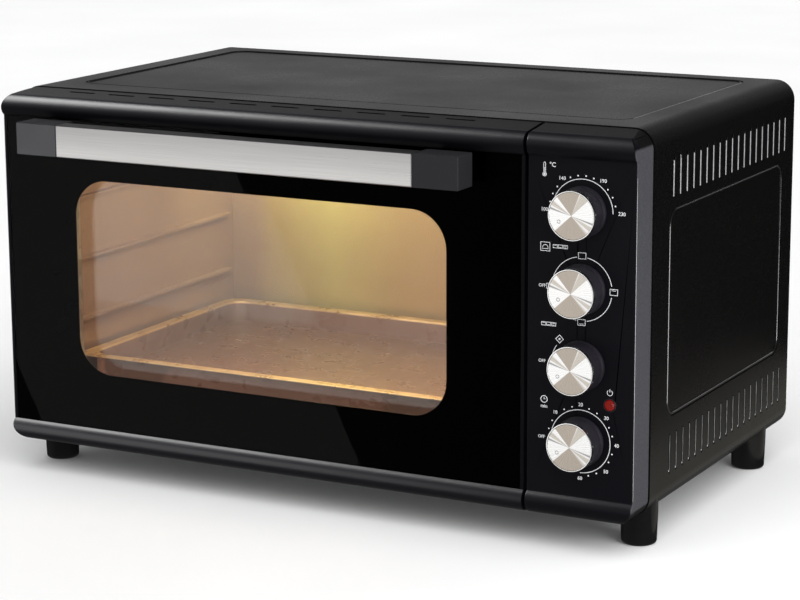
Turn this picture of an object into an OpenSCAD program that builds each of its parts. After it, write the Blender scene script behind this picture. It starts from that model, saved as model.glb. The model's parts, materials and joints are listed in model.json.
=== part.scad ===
// Counter-top toaster oven: drop-down glass door on the left, four rotary controls on the right.
// X to the right, Y to the rear, Z up.  Origin on the worktop, at the middle of the footprint.

/* [Body] */
// Width over the outer shell
body_w = 560; // [550:1:680]
// Height of the body without its feet
body_h = 294; // [270:1:360]
// Depth of the outer shell behind the front assembly
shell_d = 300; // [270:1:400]
// Depth of the door and the control panel, in front of the shell
front_d = 30; // [28:1:40]
// Radius of the four long corners of the body
corner_r = 16; // [12:1:24]
// Sheet thickness of the outer shell
shell_t = 1; // [0.8:0.1:1.6]
// Step between the shell and the slightly smaller front assembly
front_step = 0.8; // [0.4:0.1:1.5]
// Free gap between the shell's front edge and the front assembly
front_gap = 0.8; // [0.6:0.1:1.5]

/* [Feet] */
// Height of the feet
foot_h = 25; // [22:1:40]
// Radius of a foot where it meets the body
foot_r = 14.5; // [11:0.5:16]
// Distance between the front and the rear row of feet
foot_pitch_y = 234; // [200:1:300]

/* [Front mouldings] */
// Radius of the rolled bars along the top and the bottom of the front
roll_r = 9.5; // [8:0.5:11]
// How far the rolled bars stand out in front of the glass
roll_out = 4; // [2:0.5:6]
// Fall of the top strip from the shell to the rolled bar
strip_fall = 3; // [1:0.5:5]
// Wall thickness of the mouldings
wall = 2.5; // [2:0.1:3.5]
// Width of the control panel
panel_w = 86.7; // [78:1:120]
// Gap between the door and the control panel
door_gap = 2.5; // [1.5:0.5:4]

/* [Window] */
// Width of the clear window
window_w = 336.5; // [240:1:400]
// Height of the clear window
window_h = 160.5; // [120:1:175]
// Height of the window's lower edge above the body's underside
window_z = 64; // [55:1:80]
// Corner radius of the window
window_r = 30; // [10:1:50]
// Thickness of the outer glass
glass_t = 4; // [3:0.5:5]
// Thickness of the inner glass
inner_glass_t = 3; // [3:0.5:4]

/* [Handle] */
// Length of the handle over both end blocks
handle_l = 394; // [300:1:430]
// Length of each end block
handle_end_l = 38; // [30:1:50]
// Height of the handle
handle_h = 25.5; // [18:0.5:30]
// Distance from the glass to the handle's front face
handle_out = 35; // [30:1:45]
// Depth of the steel bar
bar_d = 15; // [10:1:18]
// Depth of the end blocks
block_d = 24; // [18:1:26]
// Height of the handle's middle above the body's underside
handle_z = 261; // [230:1:300]

/* [Hinge] */
// Distance of the hinge axis from the door's rear face and from its underside
hinge_r = 7.5; // [6.5:0.5:9]
// Radius of the hinge pins
pin_r = 3; // [2:0.5:3.5]
// Thickness of the hinge brackets
bracket_t = 3; // [2:0.5:4]
// Distance of each hinge from the end of the door
hinge_in = 30; // [24:1:50]

/* [Controls] */
// Radius of a knob at its face
knob_r = 18.5; // [14:0.1:22.5]
// Distance from the panel to the knob's face
knob_out = 20.5; // [16:0.5:24]
// Vertical distance between neighbouring knobs
knob_pitch = 57.6; // [50:0.1:62]
// Height of the middle of the row of knobs above the body's underside
knob_mid_z = 148; // [140:1:160]
// Radius of the control shafts
shaft_r = 3; // [2.5:0.5:4]
// Radius of the power lamp's lens
lens_r = 4; // [3:0.5:6]

/* [Oven cavity] */
// Inner width of the cavity
cavity_w = 420; // [330:1:430]
// Inner height of the cavity
cavity_h = 244; // [215:1:246]
// Inner depth of the cavity
cavity_d = 280; // [250:1:282]
// Sheet thickness of the cavity
cavity_t = 1; // [0.6:0.1:1.5]
// Height of the cavity's floor above the body's underside
cavity_z = 24; // [22:1:28]
// Height of the lowest shelf above the cavity's floor
shelf_z = 17.8; // [17.8:0.1:25]
// Distance between shelf levels
shelf_pitch = 52; // [40:1:60]
// Width of the shelf rails
rail_w = 7; // [5:1:9]
// Radius of a heating rod
heater_r = 3.5; // [3:0.5:4.5]

/* [Tray and rack] */
// Depth of the baking tray
tray_h = 20; // [15:1:30]
// Width of the tray's rim
tray_rim = 8; // [5:1:12]
// Thickness of the tray sheet
tray_t = 1; // [0.8:0.1:1.5]
// Radius of the rack's border wire
rack_r = 2.2; // [1.8:0.1:3]
// Number of thin wires across the rack
rack_wires = 15; // [9:1:21]

/* [Vents] */
// Number of slots in each row on the sides
slot_n = 19; // [10:1:22]
// Length of a side slot
slot_l = 31.5; // [20:0.5:36]
// Width of a side slot
slot_w = 3.2; // [2:0.1:4]
// Distance between side slots
slot_pitch = 13.4; // [8:0.1:14]
// Distance of the slot rows from mid height
slot_off_z = 106.5; // [90:0.5:110]
// Depth of the pressed panels in the shell
press_d = 0.8; // [0.4:0.1:1.2]
// Number of slots along the top of the door
strip_slots = 10; // [6:1:11]
// Distance between the slots along the top of the door
strip_pitch = 38; // [32:1:40]
// Length of a slot along the top of the door
strip_slot_l = 24.5; // [16:0.5:26]

/* [Fan] */
// Radius of the convection fan
fan_r = 50; // [35:1:52]
// Number of fan blades
fan_blades = 8; // [5:1:10]

/* [Fits] */
// Radial running clearance of turning shafts and pins
run_gap = 0.05; // [0.03:0.01:0.08]
// Clearance between pieces that are assembled by hand
fit_gap = 0.2; // [0.1:0.05:0.4]

/* [Hidden] */
$fn = 64;
eps = 0.01;

// Heights
z0 = foot_h;
z1 = foot_h + body_h;
zm = (z0 + z1) / 2;
zb = z0 + front_step;
zt = z1 - front_step;
// Depths: the footprint runs from the handle's face to the cable gland
gland_out = 5;
front_y = handle_out - (handle_out + front_d + shell_d + gland_out) / 2;
shell_y = front_y + front_d;
rear_y = shell_y + shell_d;
front_rear_y = shell_y - front_gap;
// Widths
front_x = body_w / 2 - front_step;
panel_x = front_x - panel_w;
door_x = panel_x - door_gap;
door_mid_x = (door_x - front_x) / 2;
door_w = door_x + front_x;
// The rolled bars
roll_y = front_y + roll_r - roll_out;
roll_edge = roll_r + sqrt(pow(roll_r, 2) - pow(roll_r - roll_out, 2));
rail_top_z = zt - strip_fall - roll_edge;
rail_bottom_z = zb + roll_edge;
// Hem and front frame
hem_d = 6;
frame_t = 1;
frame_y = shell_y + 2;
cavity_y = frame_y + frame_t;
// Cavity
cav_x0 = door_mid_x - cavity_w / 2;
cav_x1 = door_mid_x + cavity_w / 2;
cav_z0 = z0 + cavity_z;
cav_z1 = cav_z0 + cavity_h;
cav_y1 = cavity_y + cavity_d;
shelf_levels = [for (i = [0:3]) cav_z0 + shelf_z + i * shelf_pitch];
shelf_t = 2;
shelf_front = 14;
shelf_back = 12;
heater_y = [cavity_y + cavity_d * 0.3, cavity_y + cavity_d * 0.7];
heater_low_z = cav_z0 + 9;
heater_high_z = cav_z1 - 11;
insulator_r = 6;
insulator_flange_r = 8;
heater_over = 14;
// Rack and tray
rack_gap = 2;
rack_z = shelf_levels[0] + rack_r;
tray_z = rack_z + rack_r;
tray_gap = 6;
tray_y0 = cavity_y + 16;
tray_y1 = cav_y1 - 14;
// Hinge
hinge_y = front_rear_y - hinge_r;
hinge_z = zb + hinge_r;
hinge_x = [-front_x + hinge_in, door_x - hinge_in];
ear_t = 3;
ear_gap = 0.5;
hinge_slot_w = bracket_t + 2 * ear_gap;
eye_r = pin_r + 2.5;
// Handle
handle_x0 = door_mid_x - handle_l / 2;
handle_x1 = door_mid_x + handle_l / 2;
handle_face_y = front_y - handle_out;
post_w = 26;
post_h = 17;
handle_screw_r = 2;
screw_x = [handle_x0 + handle_end_l / 2, handle_x1 - handle_end_l / 2];
// Door layers, from the front
web_y = front_y + glass_t;
mask_t = 0.4;
inner_glass_y = front_y + 15;
liner_t = 1;
lip_w = 3;
glass_x0 = -front_x + lip_w;
glass_x1 = door_x - lip_w;
frame_ap = 15;
glass_lap = 13;
lip_hold = 4;
// Controls
knob_x = (panel_x + front_x) / 2 + 0.4;
knob_z = [for (i = [3:-1:0]) z0 + knob_mid_z + (i - 1.5) * knob_pitch];
knob_gap = 0.6;
cap_t = 1.2;
cap_skirt = 2.4;
skirt_t = 0.6;
shaft_front_y = front_y - knob_out + 6;
shaft_rear_y = shell_y + 12;
bracket_y = front_y + 14;
bracket_plate_t = 1.2;
neck_r = 4.5;
lens_x = knob_x + 23.3;
lens_z = z0 + knob_mid_z - 56.2;
boss_r = 4;
boss_x = [panel_x + 8, front_x - 9];
boss_z = [z0 + 34, z1 - 34];
// Fan
fan_y = cavity_y + cavity_d * 0.66;
fan_z = cav_z0 + cavity_h * 0.55;
fan_shaft_r = 2.5;
fan_x = cav_x1 + cavity_t;
fan_can_d = 21;
motor_l = 32;
motor_r = 26;
// Lamp
lamp_x = door_mid_x + 30;
lamp_z = cav_z1 - 34;
lamp_hole_r = 11;
// Gland
gland_x = front_x - 42;
gland_z = z0 + 40;
cable_r = 3.6;

// ---------- helpers ----------
module box(x, y, z) {
    translate([x[0], y[0], z[0]]) cube([x[1] - x[0], y[1] - y[0], z[1] - z[0]]);
}

module round_rect(w, h, r) {
    square([w - 2 * r, h], center = true);
    square([w, h - 2 * r], center = true);
    for (i = [-1, 1], j = [-1, 1]) translate([i * (w / 2 - r), j * (h / 2 - r)]) circle(r = r);
}

module slot_2d(l, w) {
    square([w, l - w], center = true);
    for (s = [-1, 1]) translate([0, s * (l - w) / 2]) circle(d = w);
}

// Body outline in X-Z, made smaller by inset, between two depths
module outline(inset, y) {
    translate([0, y[1], zm]) rotate([90, 0, 0]) linear_extrude(y[1] - y[0])
        round_rect(body_w - 2 * inset, body_h - 2 * inset, corner_r - inset);
}

// Side view of the front assembly in Y-Z; t is an inset, open lets it run out at the rear
module front_profile(t, open, pivot) {
    back = open ? front_rear_y + 5 : front_rear_y - t;
    translate([roll_y, zb + roll_r]) circle(r = roll_r - t);
    translate([roll_y, zt - strip_fall - roll_r]) circle(r = roll_r - t);
    difference() {
        polygon([
            [roll_y, zb + t], [back, zb + t], [back, zt - t], [roll_y, zt - strip_fall - t],
            [roll_y, zt - strip_fall - roll_r], [front_y + t, zt - strip_fall - roll_r],
            [front_y + t, zb + roll_r], [roll_y, zb + roll_r]
        ]);
        if (pivot) translate([hinge_y, z0 - 5]) square([hinge_r + 10, hinge_z - z0 + 5]);
    }
    if (pivot) translate([hinge_y, hinge_z]) circle(r = hinge_r - t);
}

module front_solid(x, t = 0, open = false, pivot = false) {
    intersection() {
        translate([x[0] + t, 0, 0]) rotate([90, 0, 90]) linear_extrude(x[1] - x[0] - 2 * t)
            front_profile(t, open, pivot);
        outline(front_step + t, [front_y - 20, front_rear_y + 10]);
    }
}

module y_rod(x, z, r, y) {
    translate([x, y[1], z]) rotate([90, 0, 0]) cylinder(r = r, h = y[1] - y[0]);
}

module x_rod(y, z, r, x) {
    translate([x[0], y, z]) rotate([0, 90, 0]) cylinder(r = r, h = x[1] - x[0]);
}

module z_slot(x, y, l, w, z) {
    translate([x, y, z[0]]) linear_extrude(z[1] - z[0]) rotate(90) slot_2d(l, w);
}

// Upright rounded plate in X-Z
module xz_plate(x, z, r, y) {
    translate([(x[0] + x[1]) / 2, y[1], (z[0] + z[1]) / 2]) rotate([90, 0, 0])
        linear_extrude(y[1] - y[0]) round_rect(x[1] - x[0], z[1] - z[0], r);
}

// ---------- outer body ----------
press_r = 14;
side_press_y = [shell_y + 31, rear_y - 24];
side_press_z = [zm - 78, zm + 83];
top_press_x = body_w / 2 - 34;
top_press_y = [shell_y + 30, rear_y - 18];

module side_press(x) {
    translate([x[0], (side_press_y[0] + side_press_y[1]) / 2, (side_press_z[0] + side_press_z[1]) / 2])
        rotate([90, 0, 90]) linear_extrude(x[1] - x[0])
        round_rect(side_press_y[1] - side_press_y[0], side_press_z[1] - side_press_z[0], press_r);
}

module top_press(inset, z) {
    translate([0, (top_press_y[0] + top_press_y[1]) / 2, z[0]]) linear_extrude(z[1] - z[0])
        round_rect(2 * (top_press_x - inset), top_press_y[1] - top_press_y[0] - 2 * inset, press_r - inset);
}

module side_slots() {
    first = (side_press_y[0] + side_press_y[1]) / 2 - (slot_n - 1) * slot_pitch / 2 + 5;
    for (i = [0:slot_n - 1], s = [-1, 1])
        translate([-body_w / 2 - 5, first + i * slot_pitch, zm + s * slot_off_z])
            rotate([90, 0, 90]) linear_extrude(body_w + 10) slot_2d(slot_l, slot_w);
}

base_lip = 24;

module outer_shell() {
    color([0.07, 0.07, 0.075]) difference() {
        union() {
            difference() {
                outline(0, [shell_y, rear_y]);
                outline(2 * shell_t, [shell_y - eps, shell_y + hem_d]);
                outline(shell_t, [shell_y + hem_d - eps, rear_y + eps]);
                box([-body_w / 2 + base_lip, body_w / 2 - base_lip], [shell_y - 1, rear_y + 1], [z0 - 1, zm]);
            }
            for (s = [-1, 1]) side_press([s * (body_w / 2 - shell_t - press_d / 2) - press_d / 2,
                s * (body_w / 2 - shell_t - press_d / 2) + press_d / 2]);
            top_press(0, [z1 - shell_t - press_d, z1 - shell_t]);
        }
        for (s = [-1, 1]) side_press([s * (body_w / 2) - press_d, s * (body_w / 2) + press_d]);
        top_press(0, [z1 - press_d, z1 + 1]);
        side_slots();
    }
}

cover_t = 1;
cover_y = rear_y - 3;
cover_in = shell_t + fit_gap;
screw_r = 2;
screw_head_r = 3.6;
rear_screw_pos = concat(
    [for (i = [-1, 0, 1]) [i * (body_w / 2 - 22), z1 - 14]],
    [for (i = [-1, 0, 1]) [i * (body_w / 2 - 22), z0 + 14]],
    [for (i = [-1, 1]) [i * (body_w / 2 - 12), zm]]
);

module rear_cover() {
    color([0.1, 0.1, 0.105]) difference() {
        outline(cover_in, [cover_y, cover_y + cover_t]);
        for (p = rear_screw_pos) y_rod(p[0], p[1], screw_r, [cover_y - 1, cover_y + 2]);
        for (i = [-7:7], s = [-1, 1]) translate([i * 14 - 110, cover_y + 2, zm + s * 62])
            rotate([90, 0, 0]) linear_extrude(4) slot_2d(34, 4);
        for (i = [-3:3], s = [-1, 1]) translate([i * 12 + 205, cover_y + 2, zm + 12 + s * 50])
            rotate([90, 0, 0]) linear_extrude(4) slot_2d(34, 4);
        y_rod(gland_x, gland_z, 8, [cover_y - 1, cover_y + 2]);
    }
}

module rear_screws() {
    color([0.2, 0.2, 0.2]) for (p = rear_screw_pos) {
        y_rod(p[0], p[1], screw_r, [cover_y - 6, cover_y + cover_t]);
        difference() {
            y_rod(p[0], p[1], screw_head_r, [cover_y + cover_t, cover_y + cover_t + 1.8]);
            for (a = [0, 90]) translate([p[0], cover_y + cover_t + 1.8, p[1]]) rotate([0, a, 0])
                cube([4, 1.6, 0.9], center = true);
        }
    }
}

module base_plate() {
    color([0.35, 0.35, 0.36]) difference() {
        box([-body_w / 2 + corner_r, body_w / 2 - corner_r], [shell_y + hem_d + 1, cover_y - 1],
            [z0 + shell_t, z0 + 2 * shell_t]);
        for (i = [-6:6], j = [0, 1]) z_slot(i * 26, shell_y + 90 + j * 110, 18, 4, [z0, z0 + 4]);
    }
}

// Ring of sheet between the shell and the cavity, open for the cavity and for the controls
module front_frame() {
    color([0.5, 0.5, 0.51]) difference() {
        outline(2 * shell_t + fit_gap, [frame_y, frame_y + frame_t]);
        box([cav_x0, cav_x1], [frame_y - 1, frame_y + 3], [cav_z0, cav_z1]);
        xz_plate([panel_x + 14, front_x - 15], [z0 + 24, z1 - 20], 4, [frame_y - 1, frame_y + 3]);
    }
}

foot_x = body_w / 2 - foot_r - 0.5;
front_foot_y = shell_y + foot_r + 2;

module foot(x, y) {
    foot_base_r = foot_r - 1.5;
    edge_r = 3;
    difference() {
        translate([x, y, 0]) rotate_extrude() {
            polygon([[0, 0], [foot_base_r - edge_r, 0], [foot_base_r - edge_r, edge_r],
                [foot_base_r, edge_r], [foot_r, z0], [foot_r, z0 + corner_r], [0, z0 + corner_r]]);
            translate([foot_base_r - edge_r, edge_r]) intersection() {
                circle(r = edge_r);
                translate([0, -edge_r]) square(edge_r);
            }
        }
        outline(0, [shell_y - 5, rear_y + 5]);
    }
}

module front_feet() {
    color([0.04, 0.04, 0.045]) for (s = [-1, 1]) foot(s * foot_x, front_foot_y);
}

module rear_feet() {
    color([0.04, 0.04, 0.045]) for (s = [-1, 1]) foot(s * foot_x, front_foot_y + foot_pitch_y);
}

// ---------- cavity ----------
module shelf_rails(x) {
    for (z = shelf_levels)
        box(x, [cavity_y + shelf_front, cav_y1 - shelf_back], [z - shelf_t, z]);
}

module wall_holes(x) {
    for (y = heater_y, z = [heater_low_z, heater_high_z]) x_rod(y, z, insulator_r, x);
}

module cavity_left_wall() {
    color([0.62, 0.55, 0.42]) difference() {
        union() {
            box([cav_x0 - cavity_t, cav_x0], [cavity_y, cav_y1], [cav_z0, cav_z1]);
            shelf_rails([cav_x0 - eps, cav_x0 + rail_w]);
        }
        wall_holes([cav_x0 - 3, cav_x0 + 1]);
    }
}

module cavity_right_wall() {
    color([0.62, 0.55, 0.42]) difference() {
        union() {
            box([cav_x1, cav_x1 + cavity_t], [cavity_y, cav_y1], [cav_z0, cav_z1]);
            shelf_rails([cav_x1 - rail_w, cav_x1 + eps]);
        }
        wall_holes([cav_x1 - 1, cav_x1 + 3]);
        for (ring = [1:3], i = [0:6 * ring - 1]) {
            a = i * 60 / ring;
            hole_y = fan_y + ring * 12 * cos(a);
            hole_z = fan_z + ring * 12 * sin(a);
            if (min([for (z = shelf_levels) abs(hole_z - z + shelf_t / 2)]) > 4.5)
                x_rod(hole_y, hole_z, 3, [cav_x1 - 1, cav_x1 + 3]);
        }
    }
}

module cavity_top() {
    color([0.62, 0.55, 0.42])
        box([cav_x0 - cavity_t, cav_x1 + cavity_t], [cavity_y, cav_y1], [cav_z1, cav_z1 + cavity_t]);
}

module cavity_floor() {
    color([0.55, 0.5, 0.4])
        box([cav_x0 - cavity_t, cav_x1 + cavity_t], [cavity_y, cav_y1], [cav_z0 - cavity_t, cav_z0]);
}

module cavity_back() {
    color([0.62, 0.55, 0.42]) difference() {
        box([cav_x0 - cavity_t, cav_x1 + cavity_t], [cav_y1, cav_y1 + cavity_t],
            [cav_z0 - cavity_t, cav_z1 + cavity_t]);
        y_rod(lamp_x, lamp_z, lamp_hole_r, [cav_y1 - 1, cav_y1 + 3]);
    }
}

module heaters(z) {
    for (y = heater_y) x_rod(y, z, heater_r, [cav_x0 - heater_over, cav_x1 + heater_over]);
}

module upper_heaters() { color([0.55, 0.54, 0.52]) heaters(heater_high_z); }

module lower_heaters() { color([0.55, 0.54, 0.52]) heaters(heater_low_z); }

module heater_insulators() {
    out = 5;
    color([0.9, 0.88, 0.82]) difference() {
        for (y = heater_y, z = [heater_low_z, heater_high_z], s = [-1, 1]) {
            wall_x = s < 0 ? cav_x0 - cavity_t : cav_x1 + cavity_t;
            inner = wall_x - s * (cavity_t + 1);
            outer = wall_x + s * out;
            x_rod(y, z, insulator_r, [min(inner, outer), max(inner, outer)]);
            x_rod(y, z, insulator_flange_r, [min(wall_x, outer), max(wall_x, outer)]);
        }
        heaters_bore_r = heater_r + run_gap;
        for (y = heater_y, z = [heater_low_z, heater_high_z])
            x_rod(y, z, heaters_bore_r, [cav_x0 - 20, cav_x1 + 20]);
    }
}

module lamp_holder() {
    color([0.85, 0.84, 0.8]) {
        y_rod(lamp_x, lamp_z, 15, [cav_y1 + cavity_t, cav_y1 + cavity_t + 2]);
        y_rod(lamp_x, lamp_z, 10, [cav_y1 - 4, cav_y1 + 9]);
    }
}

module lamp_bulb() {
    color([1, 0.9, 0.6]) {
        y_rod(lamp_x, lamp_z, 6, [cav_y1 - 10, cav_y1 - 4]);
        translate([lamp_x, cav_y1 - 16, lamp_z]) sphere(r = 9);
    }
}

module lamp_cover() {
    color([0.9, 0.9, 0.85, 0.5]) difference() {
        union() {
            y_rod(lamp_x, lamp_z, 20, [cav_y1 - 3, cav_y1]);
            y_rod(lamp_x, lamp_z, 15, [cav_y1 - 22, cav_y1 - 3 + eps]);
            translate([lamp_x, cav_y1 - 22, lamp_z]) sphere(r = 15);
        }
        y_rod(lamp_x, lamp_z, 13, [cav_y1 - 22, cav_y1 + 1]);
        translate([lamp_x, cav_y1 - 22, lamp_z]) sphere(r = 13);
    }
}

// ---------- convection fan ----------
module fan_housing() {
    can_t = 1;
    color([0.6, 0.6, 0.6]) difference() {
        union() {
            x_rod(fan_y, fan_z, fan_r + 6, [fan_x, fan_x + fan_can_d]);
            x_rod(fan_y, fan_z, fan_r + 12, [fan_x, fan_x + can_t]);
        }
        x_rod(fan_y, fan_z, fan_r + 6 - can_t, [fan_x - 1, fan_x + fan_can_d - can_t]);
        x_rod(fan_y, fan_z, 8, [fan_x - 1, fan_x + fan_can_d + 1]);
    }
}

module fan_motor() {
    x = fan_x + fan_can_d;
    color([0.35, 0.36, 0.38]) difference() {
        union() {
            x_rod(fan_y, fan_z, 12, [x, x + 4]);
            x_rod(fan_y, fan_z, motor_r, [x + 4, x + 4 + motor_l]);
            for (a = [45:90:315]) x_rod(fan_y + 20 * cos(a), fan_z + 20 * sin(a), 3, [x, x + 4 + eps]);
        }
        x_rod(fan_y, fan_z, fan_shaft_r + run_gap, [x - 1, x + motor_l + 8]);
    }
}

fan_hub = [fan_x + 6, fan_x + 16];

module fan_shaft() {
    color([0.75, 0.75, 0.76])
        x_rod(fan_y, fan_z, fan_shaft_r, [fan_x + 4, fan_x + fan_can_d + motor_l + 7]);
}

module convection_fan() {
    color([0.7, 0.7, 0.7]) difference() {
        union() {
            x_rod(fan_y, fan_z, 8, fan_hub);
            for (i = [0:fan_blades - 1]) translate([(fan_hub[0] + fan_hub[1]) / 2, fan_y, fan_z])
                rotate([i * 360 / fan_blades, 0, 0]) translate([0, 0, fan_r / 2 + 2]) rotate([0, 0, 28])
                cube([0.8, 15, fan_r - 6], center = true);
        }
        x_rod(fan_y, fan_z, fan_shaft_r, [fan_hub[0] - 1, fan_hub[1] + 1]);
    }
}

// ---------- control side ----------
module control_panel() {
    color([0.05, 0.05, 0.055]) difference() {
        union() {
            difference() {
                front_solid([panel_x, front_x]);
                front_solid([panel_x, front_x], t = wall, open = true);
            }
            for (x = boss_x, z = boss_z) y_rod(x, z, boss_r, [front_y + wall - eps, frame_y]);
        }
        for (z = knob_z) y_rod(knob_x, z, shaft_r + 0.5, [front_y - 1, front_y + wall + 1]);
        y_rod(lens_x, lens_z, lens_r + fit_gap / 2, [front_y - 1, front_y + wall + 1]);
    }
}

module control_bracket() {
    color([0.6, 0.6, 0.61]) difference() {
        xz_plate([panel_x + wall + 1, front_x - wall - 1], [boss_z[0] - 7, boss_z[1] + 7], 3,
            [bracket_y, bracket_y + bracket_plate_t]);
        for (x = boss_x, z = boss_z) y_rod(x, z, boss_r + 0.1, [bracket_y - 1, bracket_y + 3]);
        for (z = knob_z) y_rod(knob_x, z, neck_r + 0.1, [bracket_y - 1, bracket_y + 3]);
        y_rod(lens_x, lens_z, lens_r + 1.5, [bracket_y - 1, bracket_y + 3]);
    }
}

module switch_neck(z) {
    y_rod(knob_x, z, neck_r, [bracket_y - 7, bracket_y + bracket_plate_t + eps]);
}

module switch_bore(z) {
    y_rod(knob_x, z, shaft_r + run_gap, [bracket_y - 8, shaft_rear_y + 0.5]);
}

module block_switch(z, w, h, d) {
    y = bracket_y + bracket_plate_t;
    difference() {
        union() {
            switch_neck(z);
            box([knob_x - w / 2, knob_x + w / 2], [y, y + d], [z - h / 2, z + h / 2]);
            for (i = [-1, 0, 1]) box([knob_x + i * 10 - 3, knob_x + i * 10 + 3], [y + d - eps, y + d + 8],
                [z - h / 4 - 0.4, z - h / 4 + 0.4]);
        }
        switch_bore(z);
    }
}

module thermostat() { color([0.85, 0.83, 0.78]) block_switch(knob_z[0], 34, 30, 38); }

module function_switch() { color([0.2, 0.2, 0.22]) block_switch(knob_z[1], 36, 36, 34); }

module fan_switch() { color([0.2, 0.2, 0.22]) block_switch(knob_z[2], 30, 28, 32); }

timer_r = 24;
timer_d = 38;

module timer() {
    y = bracket_y + bracket_plate_t;
    color([0.7, 0.7, 0.68]) difference() {
        union() {
            switch_neck(knob_z[3]);
            y_rod(knob_x, knob_z[3], timer_r, [y, y + timer_d]);
            y_rod(knob_x, knob_z[3], 2, [y + timer_d - eps, y + timer_d + 8]);
        }
        switch_bore(knob_z[3]);
    }
}

module timer_bell() {
    y = bracket_y + bracket_plate_t + timer_d;
    color([0.72, 0.7, 0.6]) difference() {
        translate([knob_x, y + 2, knob_z[3]]) rotate([-90, 0, 0]) rotate_extrude() {
            polygon([[0, 5], [16, 5], [20, 0], [21, 0], [21, 1], [16.6, 6.2], [0, 6.2]]);
        }
        y_rod(knob_x, knob_z[3], 2.1, [y, y + 12]);
    }
}

module indicator_lens() {
    color([0.45, 0.03, 0.03]) {
        y_rod(lens_x, lens_z, lens_r, [front_y - 0.8, front_y + wall + 6]);
        translate([lens_x, front_y - 0.8, lens_z]) rotate([90, 0, 0]) cylinder(r1 = lens_r, r2 = lens_r - 1, h = 0.8);
        y_rod(lens_x, lens_z, lens_r - 1, [front_y + wall + 6 - eps, front_y + wall + 18]);
    }
}

module terminal_block() {
    color([0.88, 0.87, 0.82]) difference() {
        box([gland_x - 42, gland_x - 14], [cover_y - 16, cover_y], [gland_z - 8, gland_z + 8]);
        for (i = [0:2]) y_rod(gland_x - 37 + i * 9, gland_z, 2.5, [cover_y - 17, cover_y - 8]);
    }
}

module cable_gland() {
    color([0.05, 0.05, 0.05]) difference() {
        union() {
            y_rod(gland_x, gland_z, 8, [cover_y - 8, cover_y + cover_t + eps]);
            y_rod(gland_x, gland_z, 12, [cover_y + cover_t, rear_y + 1]);
            y_rod(gland_x, gland_z, 9, [rear_y, rear_y + gland_out]);
            y_rod(gland_x, gland_z, 11, [cover_y - 8, cover_y]);
        }
        y_rod(gland_x, gland_z, cable_r, [cover_y - 9, rear_y + gland_out + 1]);
    }
}

// ---------- tray, rack, crumb tray ----------
module crumb_tray() {
    x = [cav_x0 + 4, cav_x1 - 4];
    y = [cavity_y + 2, cav_y1 - 6];
    color([0.7, 0.7, 0.7]) difference() {
        box(x, y, [cav_z0, cav_z0 + 4]);
        box([x[0] + 0.8, x[1] - 0.8], [y[0] + 0.8, y[1] - 0.8], [cav_z0 + 0.8, cav_z0 + 5]);
    }
}

module wire_rack() {
    x = [cav_x0 + rack_gap + rack_r, cav_x1 - rack_gap - rack_r];
    y = [tray_y0 + rack_r, tray_y1 - rack_r];
    wire_r = 1.5;
    color([0.75, 0.75, 0.76]) {
        for (yy = y) x_rod(yy, rack_z, rack_r, x);
        for (xx = x) y_rod(xx, rack_z, rack_r, y);
        for (xx = x, yy = y) translate([xx, yy, rack_z]) sphere(r = rack_r);
        for (i = [1:rack_wires]) y_rod(x[0] + (x[1] - x[0]) * i / (rack_wires + 1), rack_z, wire_r, y);
    }
}

module tray_shape(inset, z) {
    w = cav_x1 - cav_x0 - 2 * tray_gap - 2 * inset;
    d = tray_y1 - tray_y0 - 2 * inset;
    translate([door_mid_x, (tray_y0 + tray_y1) / 2, z[0]]) linear_extrude(z[1] - z[0])
        round_rect(w, d, 16);
}

module baking_tray() {
    color([0.13, 0.1, 0.08]) difference() {
        union() {
            tray_shape(tray_rim, [tray_z, tray_z + tray_h]);
            tray_shape(0, [tray_z + tray_h - tray_t, tray_z + tray_h]);
        }
        tray_shape(tray_rim + tray_t, [tray_z + tray_t, tray_z + tray_h + 1]);
    }
}

// ---------- door ----------
window_x = [door_mid_x - window_w / 2, door_mid_x + window_w / 2];
window_zz = [z0 + window_z, z0 + window_z + window_h];

module grow_window(e, r, y) {
    xz_plate([window_x[0] - e, window_x[1] + e], [window_zz[0] - e, window_zz[1] + e], r, y);
}

// Slot and ears that take a hinge bracket in the bottom rail
module door_body(z) {
    intersection() {
        front_solid([-front_x, door_x], pivot = true);
        box([-body_w, body_w], [front_y - 20, shell_y + 5], z);
    }
}

module door_frame() {
    z = [rail_bottom_z, rail_top_z];
    color([0.04, 0.04, 0.045]) difference() {
        door_body(z);
        box([glass_x0, glass_x1], [front_y - 1, web_y], [z[0] - 1, z[1] + 1]);
        box([-front_x + wall, door_x - wall], [web_y + wall, shell_y + 5], [z[0] + wall, z[1] - wall]);
        grow_window(frame_ap, window_r + frame_ap, [front_y, web_y + wall + 1]);
        for (x = screw_x) y_rod(x, z0 + handle_z, handle_screw_r + fit_gap, [front_y, web_y + wall + 1]);
    }
}

module door_top_rail() {
    first = door_mid_x - (strip_slots - 1) * strip_pitch / 2;
    color([0.06, 0.06, 0.065]) difference() {
        door_body([rail_top_z, z1]);
        intersection() {
            front_solid([-front_x, door_x], t = wall);
            box([-body_w, body_w], [front_y - 20, shell_y + 5], [rail_top_z - 1, z1]);
        }
        for (i = [0:strip_slots - 1])
            z_slot(first + i * strip_pitch, shell_y - 9, strip_slot_l, 2.6, [zt - strip_fall - wall - 4, z1 + 1]);
    }
}

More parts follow.
